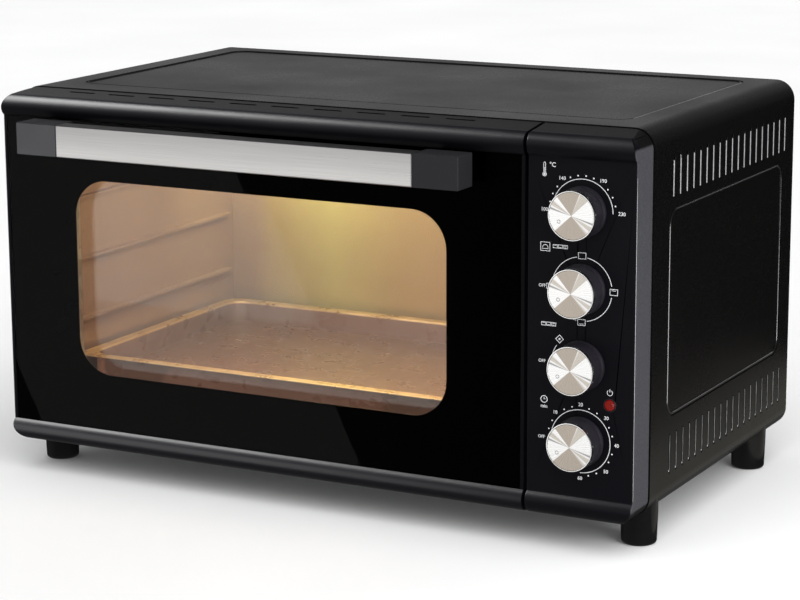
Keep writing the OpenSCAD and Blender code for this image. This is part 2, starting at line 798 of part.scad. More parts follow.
module door_bottom_rail() {
    color([0.06, 0.06, 0.065]) difference() {
        union() {
            difference() {
                door_body([z0, rail_bottom_z]);
                intersection() {
                    front_solid([-front_x, door_x], t = wall, pivot = true);
                    box([-body_w, body_w], [front_y - 20, shell_y + 5], [z0, rail_bottom_z + 1]);
                }
            }
            for (x = hinge_x) intersection() {
                front_solid([-front_x, door_x], t = wall / 2, pivot = true);
                box([x - hinge_slot_w / 2 - ear_t, x + hinge_slot_w / 2 + ear_t],
                    [hinge_y - hinge_r, shell_y], [z0, rail_bottom_z]);
            }
        }
        for (x = hinge_x) {
            box([x - hinge_slot_w / 2, x + hinge_slot_w / 2], [hinge_y - eye_r - 1.5, shell_y + 1],
                [z0 - 1, rail_bottom_z + 1]);
            x_rod(hinge_y, hinge_z, pin_r + run_gap / 2, [x - 20, x + 20]);
        }
    }
}

module outer_glass() {
    color([0.6, 0.65, 0.65, 0.3]) difference() {
        box([glass_x0 + fit_gap, glass_x1 - fit_gap], [front_y, front_y + glass_t - mask_t],
            [rail_bottom_z + fit_gap, rail_top_z - fit_gap]);
        for (x = screw_x) y_rod(x, z0 + handle_z, handle_screw_r + 1, [front_y - 1, web_y]);
    }
}

module window_mask() {
    color([0.01, 0.01, 0.012]) difference() {
        box([glass_x0 + fit_gap, glass_x1 - fit_gap], [front_y + glass_t - mask_t, front_y + glass_t],
            [rail_bottom_z + fit_gap, rail_top_z - fit_gap]);
        grow_window(0, window_r, [front_y, web_y + 1]);
        for (x = screw_x) y_rod(x, z0 + handle_z, handle_screw_r + 1, [front_y - 1, web_y + 1]);
    }
}

module inner_glass() {
    color([0.6, 0.65, 0.65, 0.3])
        grow_window(glass_lap, window_r, [inner_glass_y, inner_glass_y + inner_glass_t]);
}

// Inner steel pan of the door: rear sheet, collar round the window and a lip under the inner glass
module door_liner() {
    rear = front_rear_y;
    lip_y = inner_glass_y + inner_glass_t;
    lip_in = glass_lap + liner_t + fit_gap;
    color([0.55, 0.55, 0.56]) difference() {
        union() {
            box([-front_x + wall + fit_gap, door_x - wall - fit_gap], [rear - liner_t, rear],
                [rail_bottom_z + wall + fit_gap, rail_top_z - wall - fit_gap]);
            grow_window(lip_in, window_r, [inner_glass_y, rear]);
        }
        grow_window(glass_lap + fit_gap, window_r, [inner_glass_y - 1, lip_y]);
        grow_window(glass_lap - lip_hold, window_r, [lip_y - 1, lip_y + liner_t + eps]);
        grow_window(glass_lap + fit_gap, window_r, [lip_y + liner_t, rear + 1]);
    }
}

module handle_bar() {
    z = z0 + handle_z;
    color([0.72, 0.71, 0.69])
        box([handle_x0 + handle_end_l, handle_x1 - handle_end_l], [handle_face_y, handle_face_y + bar_d],
            [z - handle_h / 2, z + handle_h / 2]);
}

module handle_end(x0, x1, screw) {
    z = z0 + handle_z;
    mid = (x0 + x1) / 2;
    difference() {
        union() {
            box([x0, x1], [handle_face_y, handle_face_y + block_d], [z - handle_h / 2, z + handle_h / 2]);
            box([mid - post_w / 2, mid + post_w / 2], [handle_face_y + block_d - eps, front_y],
                [z - post_h / 2, z + post_h / 2]);
        }
        y_rod(screw, z, handle_screw_r, [front_y - 12, front_y + 1]);
    }
}

module handle_left_end() {
    color([0.2, 0.2, 0.21]) handle_end(handle_x0, handle_x0 + handle_end_l, screw_x[0]);
}

module handle_right_end() {
    color([0.2, 0.2, 0.21]) handle_end(handle_x1 - handle_end_l, handle_x1, screw_x[1]);
}

module handle_screws() {
    head_y = web_y + wall;
    color([0.6, 0.6, 0.6]) for (x = screw_x) {
        y_rod(x, z0 + handle_z, handle_screw_r, [front_y - 12, head_y]);
        y_rod(x, z0 + handle_z, 4, [head_y, head_y + 2.5]);
    }
}

module hinge_brackets() {
    color([0.6, 0.6, 0.6]) for (x = hinge_x) difference() {
        union() {
            x_rod(hinge_y, hinge_z, eye_r, [x - bracket_t / 2, x + bracket_t / 2]);
            box([x - bracket_t / 2, x + bracket_t / 2], [hinge_y, frame_y], [hinge_z - eye_r, hinge_z + eye_r]);
            box([x - 8, x + 8], [shell_y - 0.2, frame_y], [hinge_z - 3, hinge_z + 15]);
        }
        x_rod(hinge_y, hinge_z, pin_r + run_gap, [x - 10, x + 10]);
    }
}

module hinge_pins() {
    half = hinge_slot_w / 2 + ear_t;
    color([0.75, 0.75, 0.76]) for (x = hinge_x) x_rod(hinge_y, hinge_z, pin_r, [x - half, x + half]);
}

// ---------- knobs ----------
module knob_body(z) {
    face = front_y - knob_out + cap_t;
    base = front_y - knob_gap;
    difference() {
        translate([knob_x, base, z]) rotate([90, 0, 0]) rotate_extrude() polygon([
            [0, 0], [knob_r + 0.6, 0], [knob_r + 0.6, 2], [knob_r, 4], [knob_r, base - face - cap_skirt + cap_t],
            [knob_r - skirt_t, base - face - cap_skirt + cap_t], [knob_r - skirt_t, base - face], [0, base - face]
        ]);
        y_rod(knob_x, z, shaft_r, [shaft_front_y, front_y]);
    }
}

module knob_cap(z) {
    translate([knob_x, front_y - knob_out + cap_skirt, z]) rotate([90, 0, 0]) rotate_extrude() polygon([
        [0, cap_skirt - cap_t], [knob_r - skirt_t, cap_skirt - cap_t], [knob_r - skirt_t, 0], [knob_r, 0],
        [knob_r, cap_skirt - 0.5], [knob_r - 0.5, cap_skirt], [0, cap_skirt]
    ]);
}

module knob_shaft(z) { y_rod(knob_x, z, shaft_r, [shaft_front_y, shaft_rear_y]); }

knob_black = [0.05, 0.05, 0.055];
knob_metal = [0.78, 0.77, 0.75];

module temperature_knob() { color(knob_black) knob_body(knob_z[0]); }
module temperature_cap() { color(knob_metal) knob_cap(knob_z[0]); }
module temperature_shaft() { color(knob_metal) knob_shaft(knob_z[0]); }
module function_knob() { color(knob_black) knob_body(knob_z[1]); }
module function_cap() { color(knob_metal) knob_cap(knob_z[1]); }
module function_shaft() { color(knob_metal) knob_shaft(knob_z[1]); }
module fan_knob() { color(knob_black) knob_body(knob_z[2]); }
module fan_cap() { color(knob_metal) knob_cap(knob_z[2]); }
module fan_knob_shaft() { color(knob_metal) knob_shaft(knob_z[2]); }
module timer_knob() { color(knob_black) knob_body(knob_z[3]); }
module timer_cap() { color(knob_metal) knob_cap(knob_z[3]); }
module timer_shaft() { color(knob_metal) knob_shaft(knob_z[3]); }

outer_shell();
rear_cover();
rear_screws();
base_plate();
front_frame();
front_feet();
rear_feet();
cavity_left_wall();
cavity_right_wall();
cavity_top();
cavity_floor();
cavity_back();
upper_heaters();
lower_heaters();
heater_insulators();
lamp_holder();
lamp_bulb();
lamp_cover();
fan_housing();
fan_motor();
fan_shaft();
convection_fan();
control_panel();
control_bracket();
thermostat();
function_switch();
fan_switch();
timer();
timer_bell();
indicator_lens();
terminal_block();
cable_gland();
crumb_tray();
wire_rack();
baking_tray();
door_frame();
door_top_rail();
door_bottom_rail();
outer_glass();
window_mask();
inner_glass();
door_liner();
handle_bar();
handle_left_end();
handle_right_end();
handle_screws();
hinge_brackets();
hinge_pins();
temperature_knob();
temperature_cap();
temperature_shaft();
function_knob();
function_cap();
function_shaft();
fan_knob();
fan_cap();
fan_knob_shaft();
timer_knob();
timer_cap();
timer_shaft();
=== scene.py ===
import json
import math
import bmesh
import bpy
from mathutils import Matrix, Vector

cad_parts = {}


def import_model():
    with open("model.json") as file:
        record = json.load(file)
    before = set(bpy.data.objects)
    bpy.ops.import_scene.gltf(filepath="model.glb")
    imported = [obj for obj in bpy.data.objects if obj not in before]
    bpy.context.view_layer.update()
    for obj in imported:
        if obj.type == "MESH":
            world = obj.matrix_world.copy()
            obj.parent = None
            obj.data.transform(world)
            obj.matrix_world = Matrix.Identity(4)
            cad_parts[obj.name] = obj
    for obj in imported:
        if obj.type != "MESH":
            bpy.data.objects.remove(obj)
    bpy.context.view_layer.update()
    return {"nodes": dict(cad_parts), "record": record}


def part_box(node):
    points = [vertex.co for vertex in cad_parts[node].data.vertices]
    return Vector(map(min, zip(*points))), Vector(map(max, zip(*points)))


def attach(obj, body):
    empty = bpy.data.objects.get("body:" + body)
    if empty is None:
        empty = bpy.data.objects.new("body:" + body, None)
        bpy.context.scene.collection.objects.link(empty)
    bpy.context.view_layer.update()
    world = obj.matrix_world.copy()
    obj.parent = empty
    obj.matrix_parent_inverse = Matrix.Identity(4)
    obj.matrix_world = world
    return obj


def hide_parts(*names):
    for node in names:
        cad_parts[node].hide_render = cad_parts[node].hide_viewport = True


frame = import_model()
nodes = frame["nodes"]
mm = 0.001
bpy.context.scene.view_settings.view_transform = "Standard"
print("frame loaded:", len(nodes), "nodes")


def midOf(nodeName):
    low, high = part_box(nodeName)
    return (low + high) / 2


# places that several pieces share, all read from the frame
bodyLow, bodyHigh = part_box("outer_shell")
bodyMidZ = (bodyLow.z + bodyHigh.z) / 2
panelLow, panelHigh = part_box("control_panel")
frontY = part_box("outer_glass")[0].y  # the glass and the flat of the control panel
knobNames = ["temperature", "function", "fan", "timer"]
knobMid = {name: midOf(name + "_cap") for name in knobNames}
nodeBody = {node: body for body, held in frame["record"]["behaviour"]["bodies"].items() for node in held}
acrossWay, upWay = Vector((1, 0, 0)), Vector((0, 0, 1))


def newFinish(name, **sockets):
    # a material with one Principled shader; constants go straight on its sockets
    material = bpy.data.materials.new(name)
    material.use_nodes = True
    tree = material.node_tree
    for socket, value in sockets.items():
        tree.nodes["Principled BSDF"].inputs[socket.replace("_", " ")].default_value = value
    return material, tree


def addNode(tree, kind, inputs=None, prefix="ShaderNode", **settings):
    made = tree.nodes.new(prefix + kind)
    for key, value in settings.items():
        setattr(made, key, value)
    for key, value in (inputs or {}).items():
        if isinstance(value, bpy.types.NodeSocket):
            tree.links.new(value, made.inputs[key])
        else:
            made.inputs[key].default_value = value
    return made


def objectPoint(tree, scale=(1, 1, 1), place=(0, 0, 0)):
    # Object coordinates, so a pattern stays on its piece
    point = addNode(tree, "TexCoord").outputs["Object"]
    return addNode(tree, "Mapping", {"Vector": point, "Location": place, "Scale": scale}).outputs[0]


def axisOf(tree, axis):
    # one axis of the Object coordinates: 0 across, 1 to the rear, 2 up
    return addNode(tree, "SeparateXYZ", {0: objectPoint(tree)}).outputs[axis]


def noise(tree, scale, detail, stretch=(1, 1, 1), point=None, rough=0.5):
    point = point or objectPoint(tree, stretch)
    inputs = {"Vector": point, "Scale": scale, "Detail": detail, "Roughness": rough}
    return addNode(tree, "TexNoise", inputs).outputs["Fac"]


def spread(tree, value, low, high, fromLow=0.3, fromHigh=0.7, smooth=False):
    made = addNode(tree, "MapRange", {0: value, 1: fromLow, 2: fromHigh, 3: low, 4: high})
    made.interpolation_type = "SMOOTHSTEP" if smooth else "LINEAR"
    return made.outputs[0]


def ramp(tree, value, stops):
    made = addNode(tree, "ValToRGB", {0: value})
    points = made.color_ramp.elements
    while len(points) < len(stops):
        points.new(0.5)
    for point, (place, colour) in zip(points, stops):
        point.position = place
        point.color = (*colour, 1)
    return made.outputs[0]


def calc(tree, kind, a, b=0.0):
    return addNode(tree, "Math", {0: a, 1: b}, operation=kind).outputs[0]


def blendColour(tree, factor, a, b, kind="MIX"):
    # a and b are sockets or plain colours
    a, b = (value if isinstance(value, bpy.types.NodeSocket) else (*value, 1) for value in (a, b))
    return addNode(tree, "Mix", {0: factor, 6: a, 7: b}, data_type="RGBA", blend_type=kind).outputs[2]


def bump(tree, height, strength, distance):
    made = addNode(tree, "Bump", {"Height": height, "Strength": strength, "Distance": distance})
    return made.outputs[0]


def wire(material, **links):
    tree = material.node_tree
    for socket, value in links.items():
        tree.links.new(value, tree.nodes["Principled BSDF"].inputs[socket.replace("_", " ")])
    return material


def shellPaint():
    # satin powder coat: fine orange peel, broad patches of slightly different sheen
    material, tree = newFinish("shellPaint", Specular_IOR_Level=0.3)
    peel = noise(tree, 620, 4)
    patch = noise(tree, 9, 5)
    specks = noise(tree, 2600, 2)
    colour = ramp(tree, specks, [(0.35, (0.0022, 0.002, 0.002)), (0.75, (0.006, 0.0056, 0.0056))])
    sheen = calc(tree, "ADD", spread(tree, patch, 0.25, 0.34), spread(tree, peel, -0.03, 0.03))
    return wire(material, Base_Color=colour, Roughness=sheen, Normal=bump(tree, peel, 0.16, 0.0002))


def frontMoulding():
    # dark face and rolled bars; the strip behind the roll and the end walls carry a coarse grain, and the end
    # walls are painted greyer as painted light on a lit side
    material, tree = newFinish("frontMoulding", Specular_IOR_Level=0.32)
    stripStart = frontY + 5.8 * mm
    strip = spread(tree, axisOf(tree, 1), 0, 1, stripStart, stripStart + 0.4 * mm)
    across = calc(tree, "ABSOLUTE", axisOf(tree, 0))
    ends = spread(tree, across, 0, 1, panelHigh.x - 0.9 * mm, panelHigh.x - 0.4 * mm)
    fine = noise(tree, 1500, 3)
    coarse = noise(tree, 620, 5, rough=0.72)
    patch = noise(tree, 14, 4)
    rough = calc(tree, "MAXIMUM", strip, ends)
    sheen = calc(tree, "ADD", spread(tree, patch, 0.34, 0.42), calc(tree, "MULTIPLY", rough, 0.3))
    face = ramp(tree, fine, [(0.3, (0.0014, 0.0013, 0.0026)), (0.8, (0.0034, 0.0032, 0.0056))])
    stripTone = ramp(tree, coarse, [(0.35, (0.0008, 0.0008, 0.0008)), (0.65, (0.005, 0.005, 0.0053))])
    # painted light: the end walls are painted grey, as a side lit from the right
    paintedLitEnds = ramp(tree, coarse, [(0.35, (0.034, 0.034, 0.04)), (0.65, (0.066, 0.066, 0.075))])
    colour = blendColour(tree, ends, blendColour(tree, strip, face, stripTone), paintedLitEnds)
    grain = calc(tree, "ADD", calc(tree, "MULTIPLY", fine, 0.35), calc(tree, "MULTIPLY", coarse, rough))
    return wire(material, Base_Color=colour, Roughness=sheen, Normal=bump(tree, grain, 0.3, 0.00022))


def spunMetal(name, centre):
    # lathe-spun face: fine rings, and a fan of bright and warm grey sectors round the centre, a painted
    # reflection of the highlights on a spun face
    material, tree = newFinish("spunMetal." + name, Metallic=1.0, Anisotropic=0.3)
    point = objectPoint(tree, place=(-centre.x, -centre.y, -centre.z))
    axes = addNode(tree, "SeparateXYZ", {0: point})
    flat = addNode(tree, "CombineXYZ", {0: axes.outputs[0], 1: axes.outputs[2]}).outputs[0]
    turn = addNode(tree, "TexGradient", {0: flat}, gradient_type="RADIAL").outputs[1]
    clock = calc(tree, "FRACT", calc(tree, "SUBTRACT", 1.865, turn))  # 0 where the first warm sector starts
    # painted reflection: bright, pale, dark and warm grey sectors stand where a spun face's highlights would
    # fall
    warm, pale = (0.46, 0.4, 0.335), (0.62, 0.575, 0.51)
    dark, bright = (0.36, 0.35, 0.345), (0.98, 0.975, 0.96)
    stops = []
    for start in (0, 180):
        stops += [(start + 1, warm), (start + 62, warm)]
        stops += [(64, bright), (65.5, pale), (88, pale)] if start == 0 else [(start + 88, warm)]
        stops += [(start + 90.5, bright), (start + 144, bright), (start + 146, dark), (start + 149, dark),
                  (start + 151, bright), (start + 154, bright), (start + 156.5, pale), (start + 166, pale),
                  (start + 169, bright)]
    fan = ramp(tree, clock, [(0.0, bright)] + [(degrees / 360, colour) for degrees, colour in stops])
    distance = addNode(tree, "VectorMath", {0: flat}, operation="LENGTH").outputs[1]
    rings = calc(tree, "SINE", calc(tree, "MULTIPLY", distance, 14000.0))
    streak = noise(tree, 110, 2, point=addNode(tree, "CombineXYZ", {0: turn}).outputs[0])
    colour = blendColour(tree, spread(tree, streak, 0.0, 0.14), fan, (0.5, 0.48, 0.45))
    tangent = addNode(tree, "Tangent", direction_type="RADIAL", axis="Y").outputs[0]
    return wire(material, Base_Color=colour, Roughness=spread(tree, streak, 0.24, 0.34),
                Normal=bump(tree, rings, 0.08, 0.00005), Tangent=tangent)


def brushedBar():
    # steel brushed along its length, with painted shade darkening it towards the top
    material, tree = newFinish("brushedBar", Metallic=1.0)
    lines = noise(tree, 1.0, 5, (14, 2600, 2600))
    wide = noise(tree, 1.0, 3, (3, 160, 160))
    brushed = ramp(tree, lines, [(0.25, (0.5, 0.485, 0.47)), (0.75, (0.68, 0.67, 0.65))])
    barLow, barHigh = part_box("handle_bar")
    # painted shade: the colour darkens from the bottom edge towards the top
    height = axisOf(tree, 2)
    paintedTopShade = ramp(tree, spread(tree, height, 0, 1, barLow.z, barHigh.z), [
        (0.0, (1.0, 1.0, 1.0)), (0.12, (1.0, 1.0, 1.0)), (1.0, (0.68, 0.68, 0.69))])
    colour = blendColour(tree, 1.0, brushed, paintedTopShade, "MULTIPLY")
    sheen = calc(tree, "ADD", spread(tree, lines, 0.27, 0.4), spread(tree, wide, -0.03, 0.04))
    return wire(material, Base_Color=colour, Roughness=sheen, Normal=bump(tree, lines, 0.14, 0.00008))


def cavityCoat():
    # golden heat-resistant coat with a brushed grain; its colour shifts across the cavity as painted sheen
    # and shade, the change wobbled by a slow noise
    material, tree = newFinish("cavityCoat", Metallic=0.35)
    brush = noise(tree, 1.0, 4, (900, 900, 30))
    sheenWobble = noise(tree, 11, 5)
    fleck = noise(tree, 800, 3)
    # painted sheen and shade across the cavity: darker rosy brown on the left, olive in the middle, brighter
    # gold towards the fan
    across = axisOf(tree, 0)
    drift = calc(tree, "ADD", across, spread(tree, sheenWobble, -0.004, 0.004))
    paintedSheen = ramp(tree, spread(tree, drift, 0, 1, bodyLow.x, panelLow.x), [
        (0.0, (0.285, 0.178, 0.155)), (0.1, (0.285, 0.178, 0.155)), (0.14, (0.355, 0.258, 0.155)),
        (0.28, (0.47, 0.4, 0.185)), (0.42, (0.4, 0.27, 0.135)), (0.55, (0.39, 0.24, 0.122)),
        (1.0, (0.45, 0.262, 0.138))])
    colour = blendColour(tree, spread(tree, fleck, 0.0, 0.3), paintedSheen, (0.62, 0.44, 0.24))
    return wire(material, Base_Color=colour, Roughness=spread(tree, brush, 0.36, 0.52),
                Normal=bump(tree, brush, 0.12, 0.0002))


def zincSheet():
    # zinc plate: spangle cells of slightly different grey
    material, tree = newFinish("zincSheet", Metallic=0.9)
    cells = addNode(tree, "TexVoronoi", {"Vector": objectPoint(tree), "Scale": 130}).outputs["Color"]
    tone = addNode(tree, "SeparateColor", {0: cells}).outputs[0]
    stain = noise(tree, 15, 5)
    colour = ramp(tree, tone, [(0.0, (0.36, 0.365, 0.375)), (1.0, (0.56, 0.565, 0.57))])
    stained = blendColour(tree, spread(tree, stain, 0.0, 0.3), colour, (0.28, 0.27, 0.26))
    return wire(material, Base_Color=stained, Roughness=spread(tree, tone, 0.3, 0.48, 0, 1),
                Normal=bump(tree, tone, 0.05, 0.0002))


def chromeWire():
    material, tree = newFinish("chromeWire", Metallic=1.0)
    tarnish = noise(tree, 45, 5)
    colour = ramp(tree, tarnish, [(0.35, (0.62, 0.6, 0.56)), (0.65, (0.8, 0.8, 0.8))])
    return wire(material, Base_Color=colour, Roughness=spread(tree, tarnish, 0.22, 0.1),
                Normal=bump(tree, noise(tree, 700, 2), 0.04, 0.0001))


def motorLacquer():
    # stacked core plates under grey lacquer
    material, tree = newFinish("motorLacquer", Metallic=0.4)
    point = objectPoint(tree)
    plates = addNode(tree, "TexWave", {"Vector": point, "Scale": 320, "Distortion": 0.3}).outputs[1]
    dust = noise(tree, 300, 4)
    colour = ramp(tree, dust, [(0.3, (0.1, 0.1, 0.11)), (0.7, (0.18, 0.18, 0.19))])
    return wire(material, Base_Color=colour, Roughness=spread(tree, dust, 0.4, 0.55),
                Normal=bump(tree, plates, 0.35, 0.0003))


def lensRed():
    # ribbed dark red lens that catches a little light inside
    material, tree = newFinish("lensRed", Transmission_Weight=0.35, IOR=1.45, Emission_Strength=0.12,
                                Emission_Color=(0.5, 0.02, 0.01, 1))
    point = objectPoint(tree)
    ribs = addNode(tree, "TexWave", {"Vector": point, "Scale": 420}, bands_direction="Z").outputs[1]
    colour = ramp(tree, ribs, [(0.0, (0.1, 0.004, 0.003)), (1.0, (0.26, 0.012, 0.008))])
    return wire(material, Base_Color=colour, Roughness=spread(tree, noise(tree, 200, 2), 0.12, 0.24),
                Normal=bump(tree, ribs, 0.3, 0.0002))


def trayEnamel(rimZ):
    # dark enamel, rubbed to a golden edge along the rim
    material, tree = newFinish("trayEnamel", Coat_Weight=0.2, Coat_Roughness=0.2)
    height = axisOf(tree, 2)
    nearRim = spread(tree, height, 0, 1, rimZ - 2.6 * mm, rimZ - 0.8 * mm, True)
    rub = noise(tree, 60, 5)
    speck = noise(tree, 1500, 2)
    enamel = ramp(tree, speck, [(0.35, (0.1, 0.052, 0.034)), (0.75, (0.14, 0.075, 0.05))])
    golden = ramp(tree, rub, [(0.3, (0.6, 0.42, 0.2)), (0.7, (0.8, 0.6, 0.33))])
    return wire(material, Base_Color=blendColour(tree, nearRim, enamel, golden),
                Roughness=spread(tree, rub, 0.24, 0.36), Normal=bump(tree, speck, 0.03, 0.0002),
                Metallic=calc(tree, "MULTIPLY", nearRim, 0.8))


# finishes with tones over a grain, sheen over the grain or a slower patch, and a fine relief over either
mottledSet = {
    "handleMoulding": {
        "grain": (1400, 3), "tones": [(0.3, (0.016, 0.016, 0.019)), (0.8, (0.03, 0.03, 0.034))],
        "patch": (30, 3), "sheen": (0.4, 0.5), "relief": (0.25, 0.0002), "Specular_IOR_Level": 0.4},
    "footMoulding": {  # faint flow marks run up the foot
        "grain": (900, 2), "tones": [(0.4, (0.003, 0.003, 0.0032)), (0.85, (0.008, 0.008, 0.0085))],
        "patch": (60, 3, (1, 1, 0.12)), "sheen": (0.18, 0.28), "relief": (0.08, 0.0003), "reliefOn": "patch"},
    "knobMoulding": {
        "grain": (1900, 2), "tones": [(0.3, (0.012, 0.011, 0.0145)), (0.8, (0.022, 0.02, 0.027))],
        "patch": (40, 4), "sheen": (0.34, 0.46), "relief": (0.12, 0.00015), "Specular_IOR_Level": 0.45},
    "rimMetal": {  # polished, diamond-turned
        "grain": (1.0, 3, (400, 6000, 400)), "tones": [(0.3, (0.86, 0.85, 0.83)), (0.7, (0.97, 0.965, 0.95))],
        "sheen": (0.1, 0.2), "relief": (0.05, 0.00005), "Metallic": 1.0},
    "blackPrint": {
        "grain": (1800, 2), "tones": [(0.3, (0.004, 0.0038, 0.0045)), (0.8, (0.009, 0.0086, 0.01))],
        "patch": (20, 3), "sheen": (0.25, 0.4), "Specular_IOR_Level": 0.25},
    "heaterTube": {  # oxidised sheath with blue and straw heat tints
        "grain": (1.0, 4, (26, 70, 70)),
        "tones": [(0.3, (0.16, 0.15, 0.17)), (0.5, (0.33, 0.28, 0.22)), (0.7, (0.2, 0.19, 0.18))],
        "patch": (900, 3), "sheen": (0.4, 0.6), "relief": (0.2, 0.0002), "reliefOn": "patch",
        "Metallic": 0.8},
    "ceramic": {
        "grain": (1300, 3), "tones": [(0.3, (0.66, 0.62, 0.52)), (0.6, (0.82, 0.79, 0.7))],
        "patch": (60, 3), "sheen": (0.25, 0.45), "relief": (0.1, 0.0003), "reliefOn": "patch"},
    "paintedVentLight": {  # pale grey, dusty in places; the finish of the pale vent rods that stand in for light seen through the slots, as painted light
        "grain": (240, 4), "tones": [(0.3, (0.3, 0.3, 0.31)), (0.7, (0.42, 0.42, 0.43))],
        "sheen": (0.3, 0.5), "relief": (0.08, 0.0002)},
    "switchMoulding": {
        "grain": (1100, 3), "tones": [(0.3, (0.025, 0.025, 0.03)), (0.8, (0.05, 0.05, 0.055))],
        "sheen": (0.42, 0.58), "relief": (0.2, 0.0002)},
    "bulbGlass": {
        "grain": (90, 3), "tones": [(0.3, (0.9, 0.8, 0.6)), (0.7, (1, 0.93, 0.8))], "patch": (40, 3),
        "sheen": (0.05, 0.15), "Transmission_Weight": 0.6, "IOR": 1.4, "Emission_Strength": 6.0,
        "Emission_Color": (1.0, 0.72, 0.36, 1)},
    "bellMetal": {
        "grain": (260, 4), "tones": [(0.3, (0.5, 0.44, 0.3)), (0.7, (0.66, 0.6, 0.44))],
        "sheen": (0.2, 0.34), "relief": (0.08, 0.0001), "Metallic": 1.0},
    "whiteInk": {
        "grain": (900, 3), "tones": [(0.3, (0.62, 0.63, 0.64)), (0.7, (0.86, 0.87, 0.88))],
        "sheen": (0.45, 0.6), "relief": (0.05, 0.0001), "Specular_IOR_Level": 0.3},
    "clearGlass": {  # tempered float glass with a trace of smear
        "grain": (22, 5), "tones": [(0.3, (0.9409, 0.95545, 0.9409)), (0.7, (0.97, 0.985, 0.97))],
        "sheen": (0.0, 0.012), "Transmission_Weight": 1.0, "IOR": 1.45},
    "outerGlassFinish": {
        "grain": (22, 5), "tones": [(0.3, (0.9312, 0.9506, 0.9409)), (0.7, (0.96, 0.98, 0.97))],
        "sheen": (0.0, 0.012), "Transmission_Weight": 1.0, "IOR": 1.22},
    "paleFloor": {
        "grain": (3, 3), "tones": [(0.3, (0.93, 0.93, 0.93)), (0.7, (0.96, 0.96, 0.96))],
        "sheen": (0.7, 0.8), "Specular_IOR_Level": 0.1},
}


def mottled(name, grain, tones, sheen, patch=None, relief=None, reliefOn="grain", **sockets):
    material, tree = newFinish(name, **sockets)
    layers = {"grain": noise(tree, *grain)}
    layers["patch"] = noise(tree, *patch) if patch else layers["grain"]
    wire(material, Base_Color=ramp(tree, layers["grain"], tones),
         Roughness=spread(tree, layers["patch"], *sheen))
    if relief:
        wire(material, Normal=bump(tree, layers[reliefOn], *relief))
    return material


plain = {name: mottled(name, **values) for name, values in mottledSet.items()}
finish = {
    "shell_paint": shellPaint(), "front_plastic": frontMoulding(), "handle_plastic": plain["handleMoulding"],
    "foot_plastic": plain["footMoulding"], "knob_plastic": plain["knobMoulding"], "brushed_bar": brushedBar(),
    "black_print": plain["blackPrint"], "cavity_sheet": cavityCoat(), "zinc_sheet": zincSheet(),
    "chrome_wire": chromeWire(), "heater_tube": plain["heaterTube"], "ceramic": plain["ceramic"],
    "motor_steel": motorLacquer(), "switch_plastic": plain["switchMoulding"], "lens_red": lensRed(),
    "bulb_glass": plain["bulbGlass"], "bell_brass": plain["bellMetal"],
    "tray_enamel": trayEnamel(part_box("baking_tray")[1].z), "clear_glass": plain["clearGlass"],
}
print("finishes made:", len(finish))

for part in frame["record"]["subparts"]:
    nodeName = part["node"]
    mesh = nodes[nodeName].data
    mesh.materials.clear()
    if nodeName.endswith("_cap"):
        mesh.materials.append(spunMetal(nodeName, midOf(nodeName)))
    elif nodeName == "outer_glass":
        mesh.materials.append(plain["outerGlassFinish"])
    else:
        mesh.materials.append(finish[part["material_slot"]])
print("finishes on the frame's nodes")


def addPiece(name, data):
    piece = bpy.data.objects.new(name, data)
    bpy.context.scene.collection.objects.link(piece)
    return piece


def softenEdges(nodeName, width, rings=2, angle=40):
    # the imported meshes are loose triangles, so their points are joined first
    node = nodes[nodeName]
    node.modifiers.new("join", "WELD").merge_threshold = 0.00001
    edge = node.modifiers.new("edge", "BEVEL")
    edge.width = width
    edge.segments = rings
    edge.limit_method = "ANGLE"
    edge.angle_limit = math.radians(angle)
    edge.use_clamp_overlap = False
    even = node.modifiers.new("even", "WEIGHTED_NORMAL")
    even.keep_sharp = True


edgeWidths = {
    "handle_bar": 0.8 * mm, "handle_left_end": 0.6 * mm, "handle_right_end": 0.6 * mm,
    "control_panel": 0.7 * mm, "door_top_rail": 0.35 * mm, "door_bottom_rail": 0.35 * mm,
    "door_frame": 0.35 * mm, "baking_tray": 0.3 * mm,
}
for nodeName, width in edgeWidths.items():
    softenEdges(nodeName, width)
print("edges softened:", len(edgeWidths))


def formMesh(name, form):
    mesh = bpy.data.meshes.new(name)
    form.to_mesh(mesh)
    form.free()
    return mesh


def settledMesh(made):
    # an object's mesh with its modifiers or its lettering worked out
    depsgraph = bpy.context.evaluated_depsgraph_get()
    return bpy.data.meshes.new_from_object(made.evaluated_get(depsgraph), depsgraph=depsgraph)


def smoothPiece(name, form, material, angle=35):
    # turns a bmesh into a smooth piece that stays sharp past the angle
    bmesh.ops.recalc_face_normals(form, faces=form.faces)
    mesh = formMesh(name, form)
    mesh.shade_smooth()
    mesh.set_sharp_from_angle(angle=math.radians(angle))
    mesh.materials.append(material)
    return addPiece(name, mesh)


def place(piece, body, slotName):
    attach(piece, body)


def roundRect(width, height, radius, steps):
    # corner arcs of a rounded rectangle about its middle, anticlockwise
    points = []
    for corner, (sx, sy) in enumerate(((1, 1), (-1, 1), (-1, -1), (1, -1))):
        for step in range(steps + 1):
            a = math.radians(90 * corner + 90 * step / steps)
            points.append((sx * (width / 2 - radius) + radius * math.cos(a),
                           sy * (height / 2 - radius) + radius * math.sin(a)))
    return points


def loft(name, rings, material, closed=False):
    # skin over rings that all have the same number of points, its ends capped unless it closes on itself
    count = len(rings[0])
    form = bmesh.new()
    points = [form.verts.new(p) for ring in rings for p in ring]
    for r in range(len(rings) if closed else len(rings) - 1):
        a, b = r * count, ((r + 1) % len(rings)) * count
        for i in range(count):
            j = (i + 1) % count
            form.faces.new((points[a + i], points[a + j], points[b + j], points[b + i]))
    if not closed:
        form.faces.new(points[:count][::-1])
        form.faces.new(points[-count:])
    bmesh.ops.remove_doubles(form, verts=form.verts, dist=1e-7)
    return smoothPiece(name, form, material)


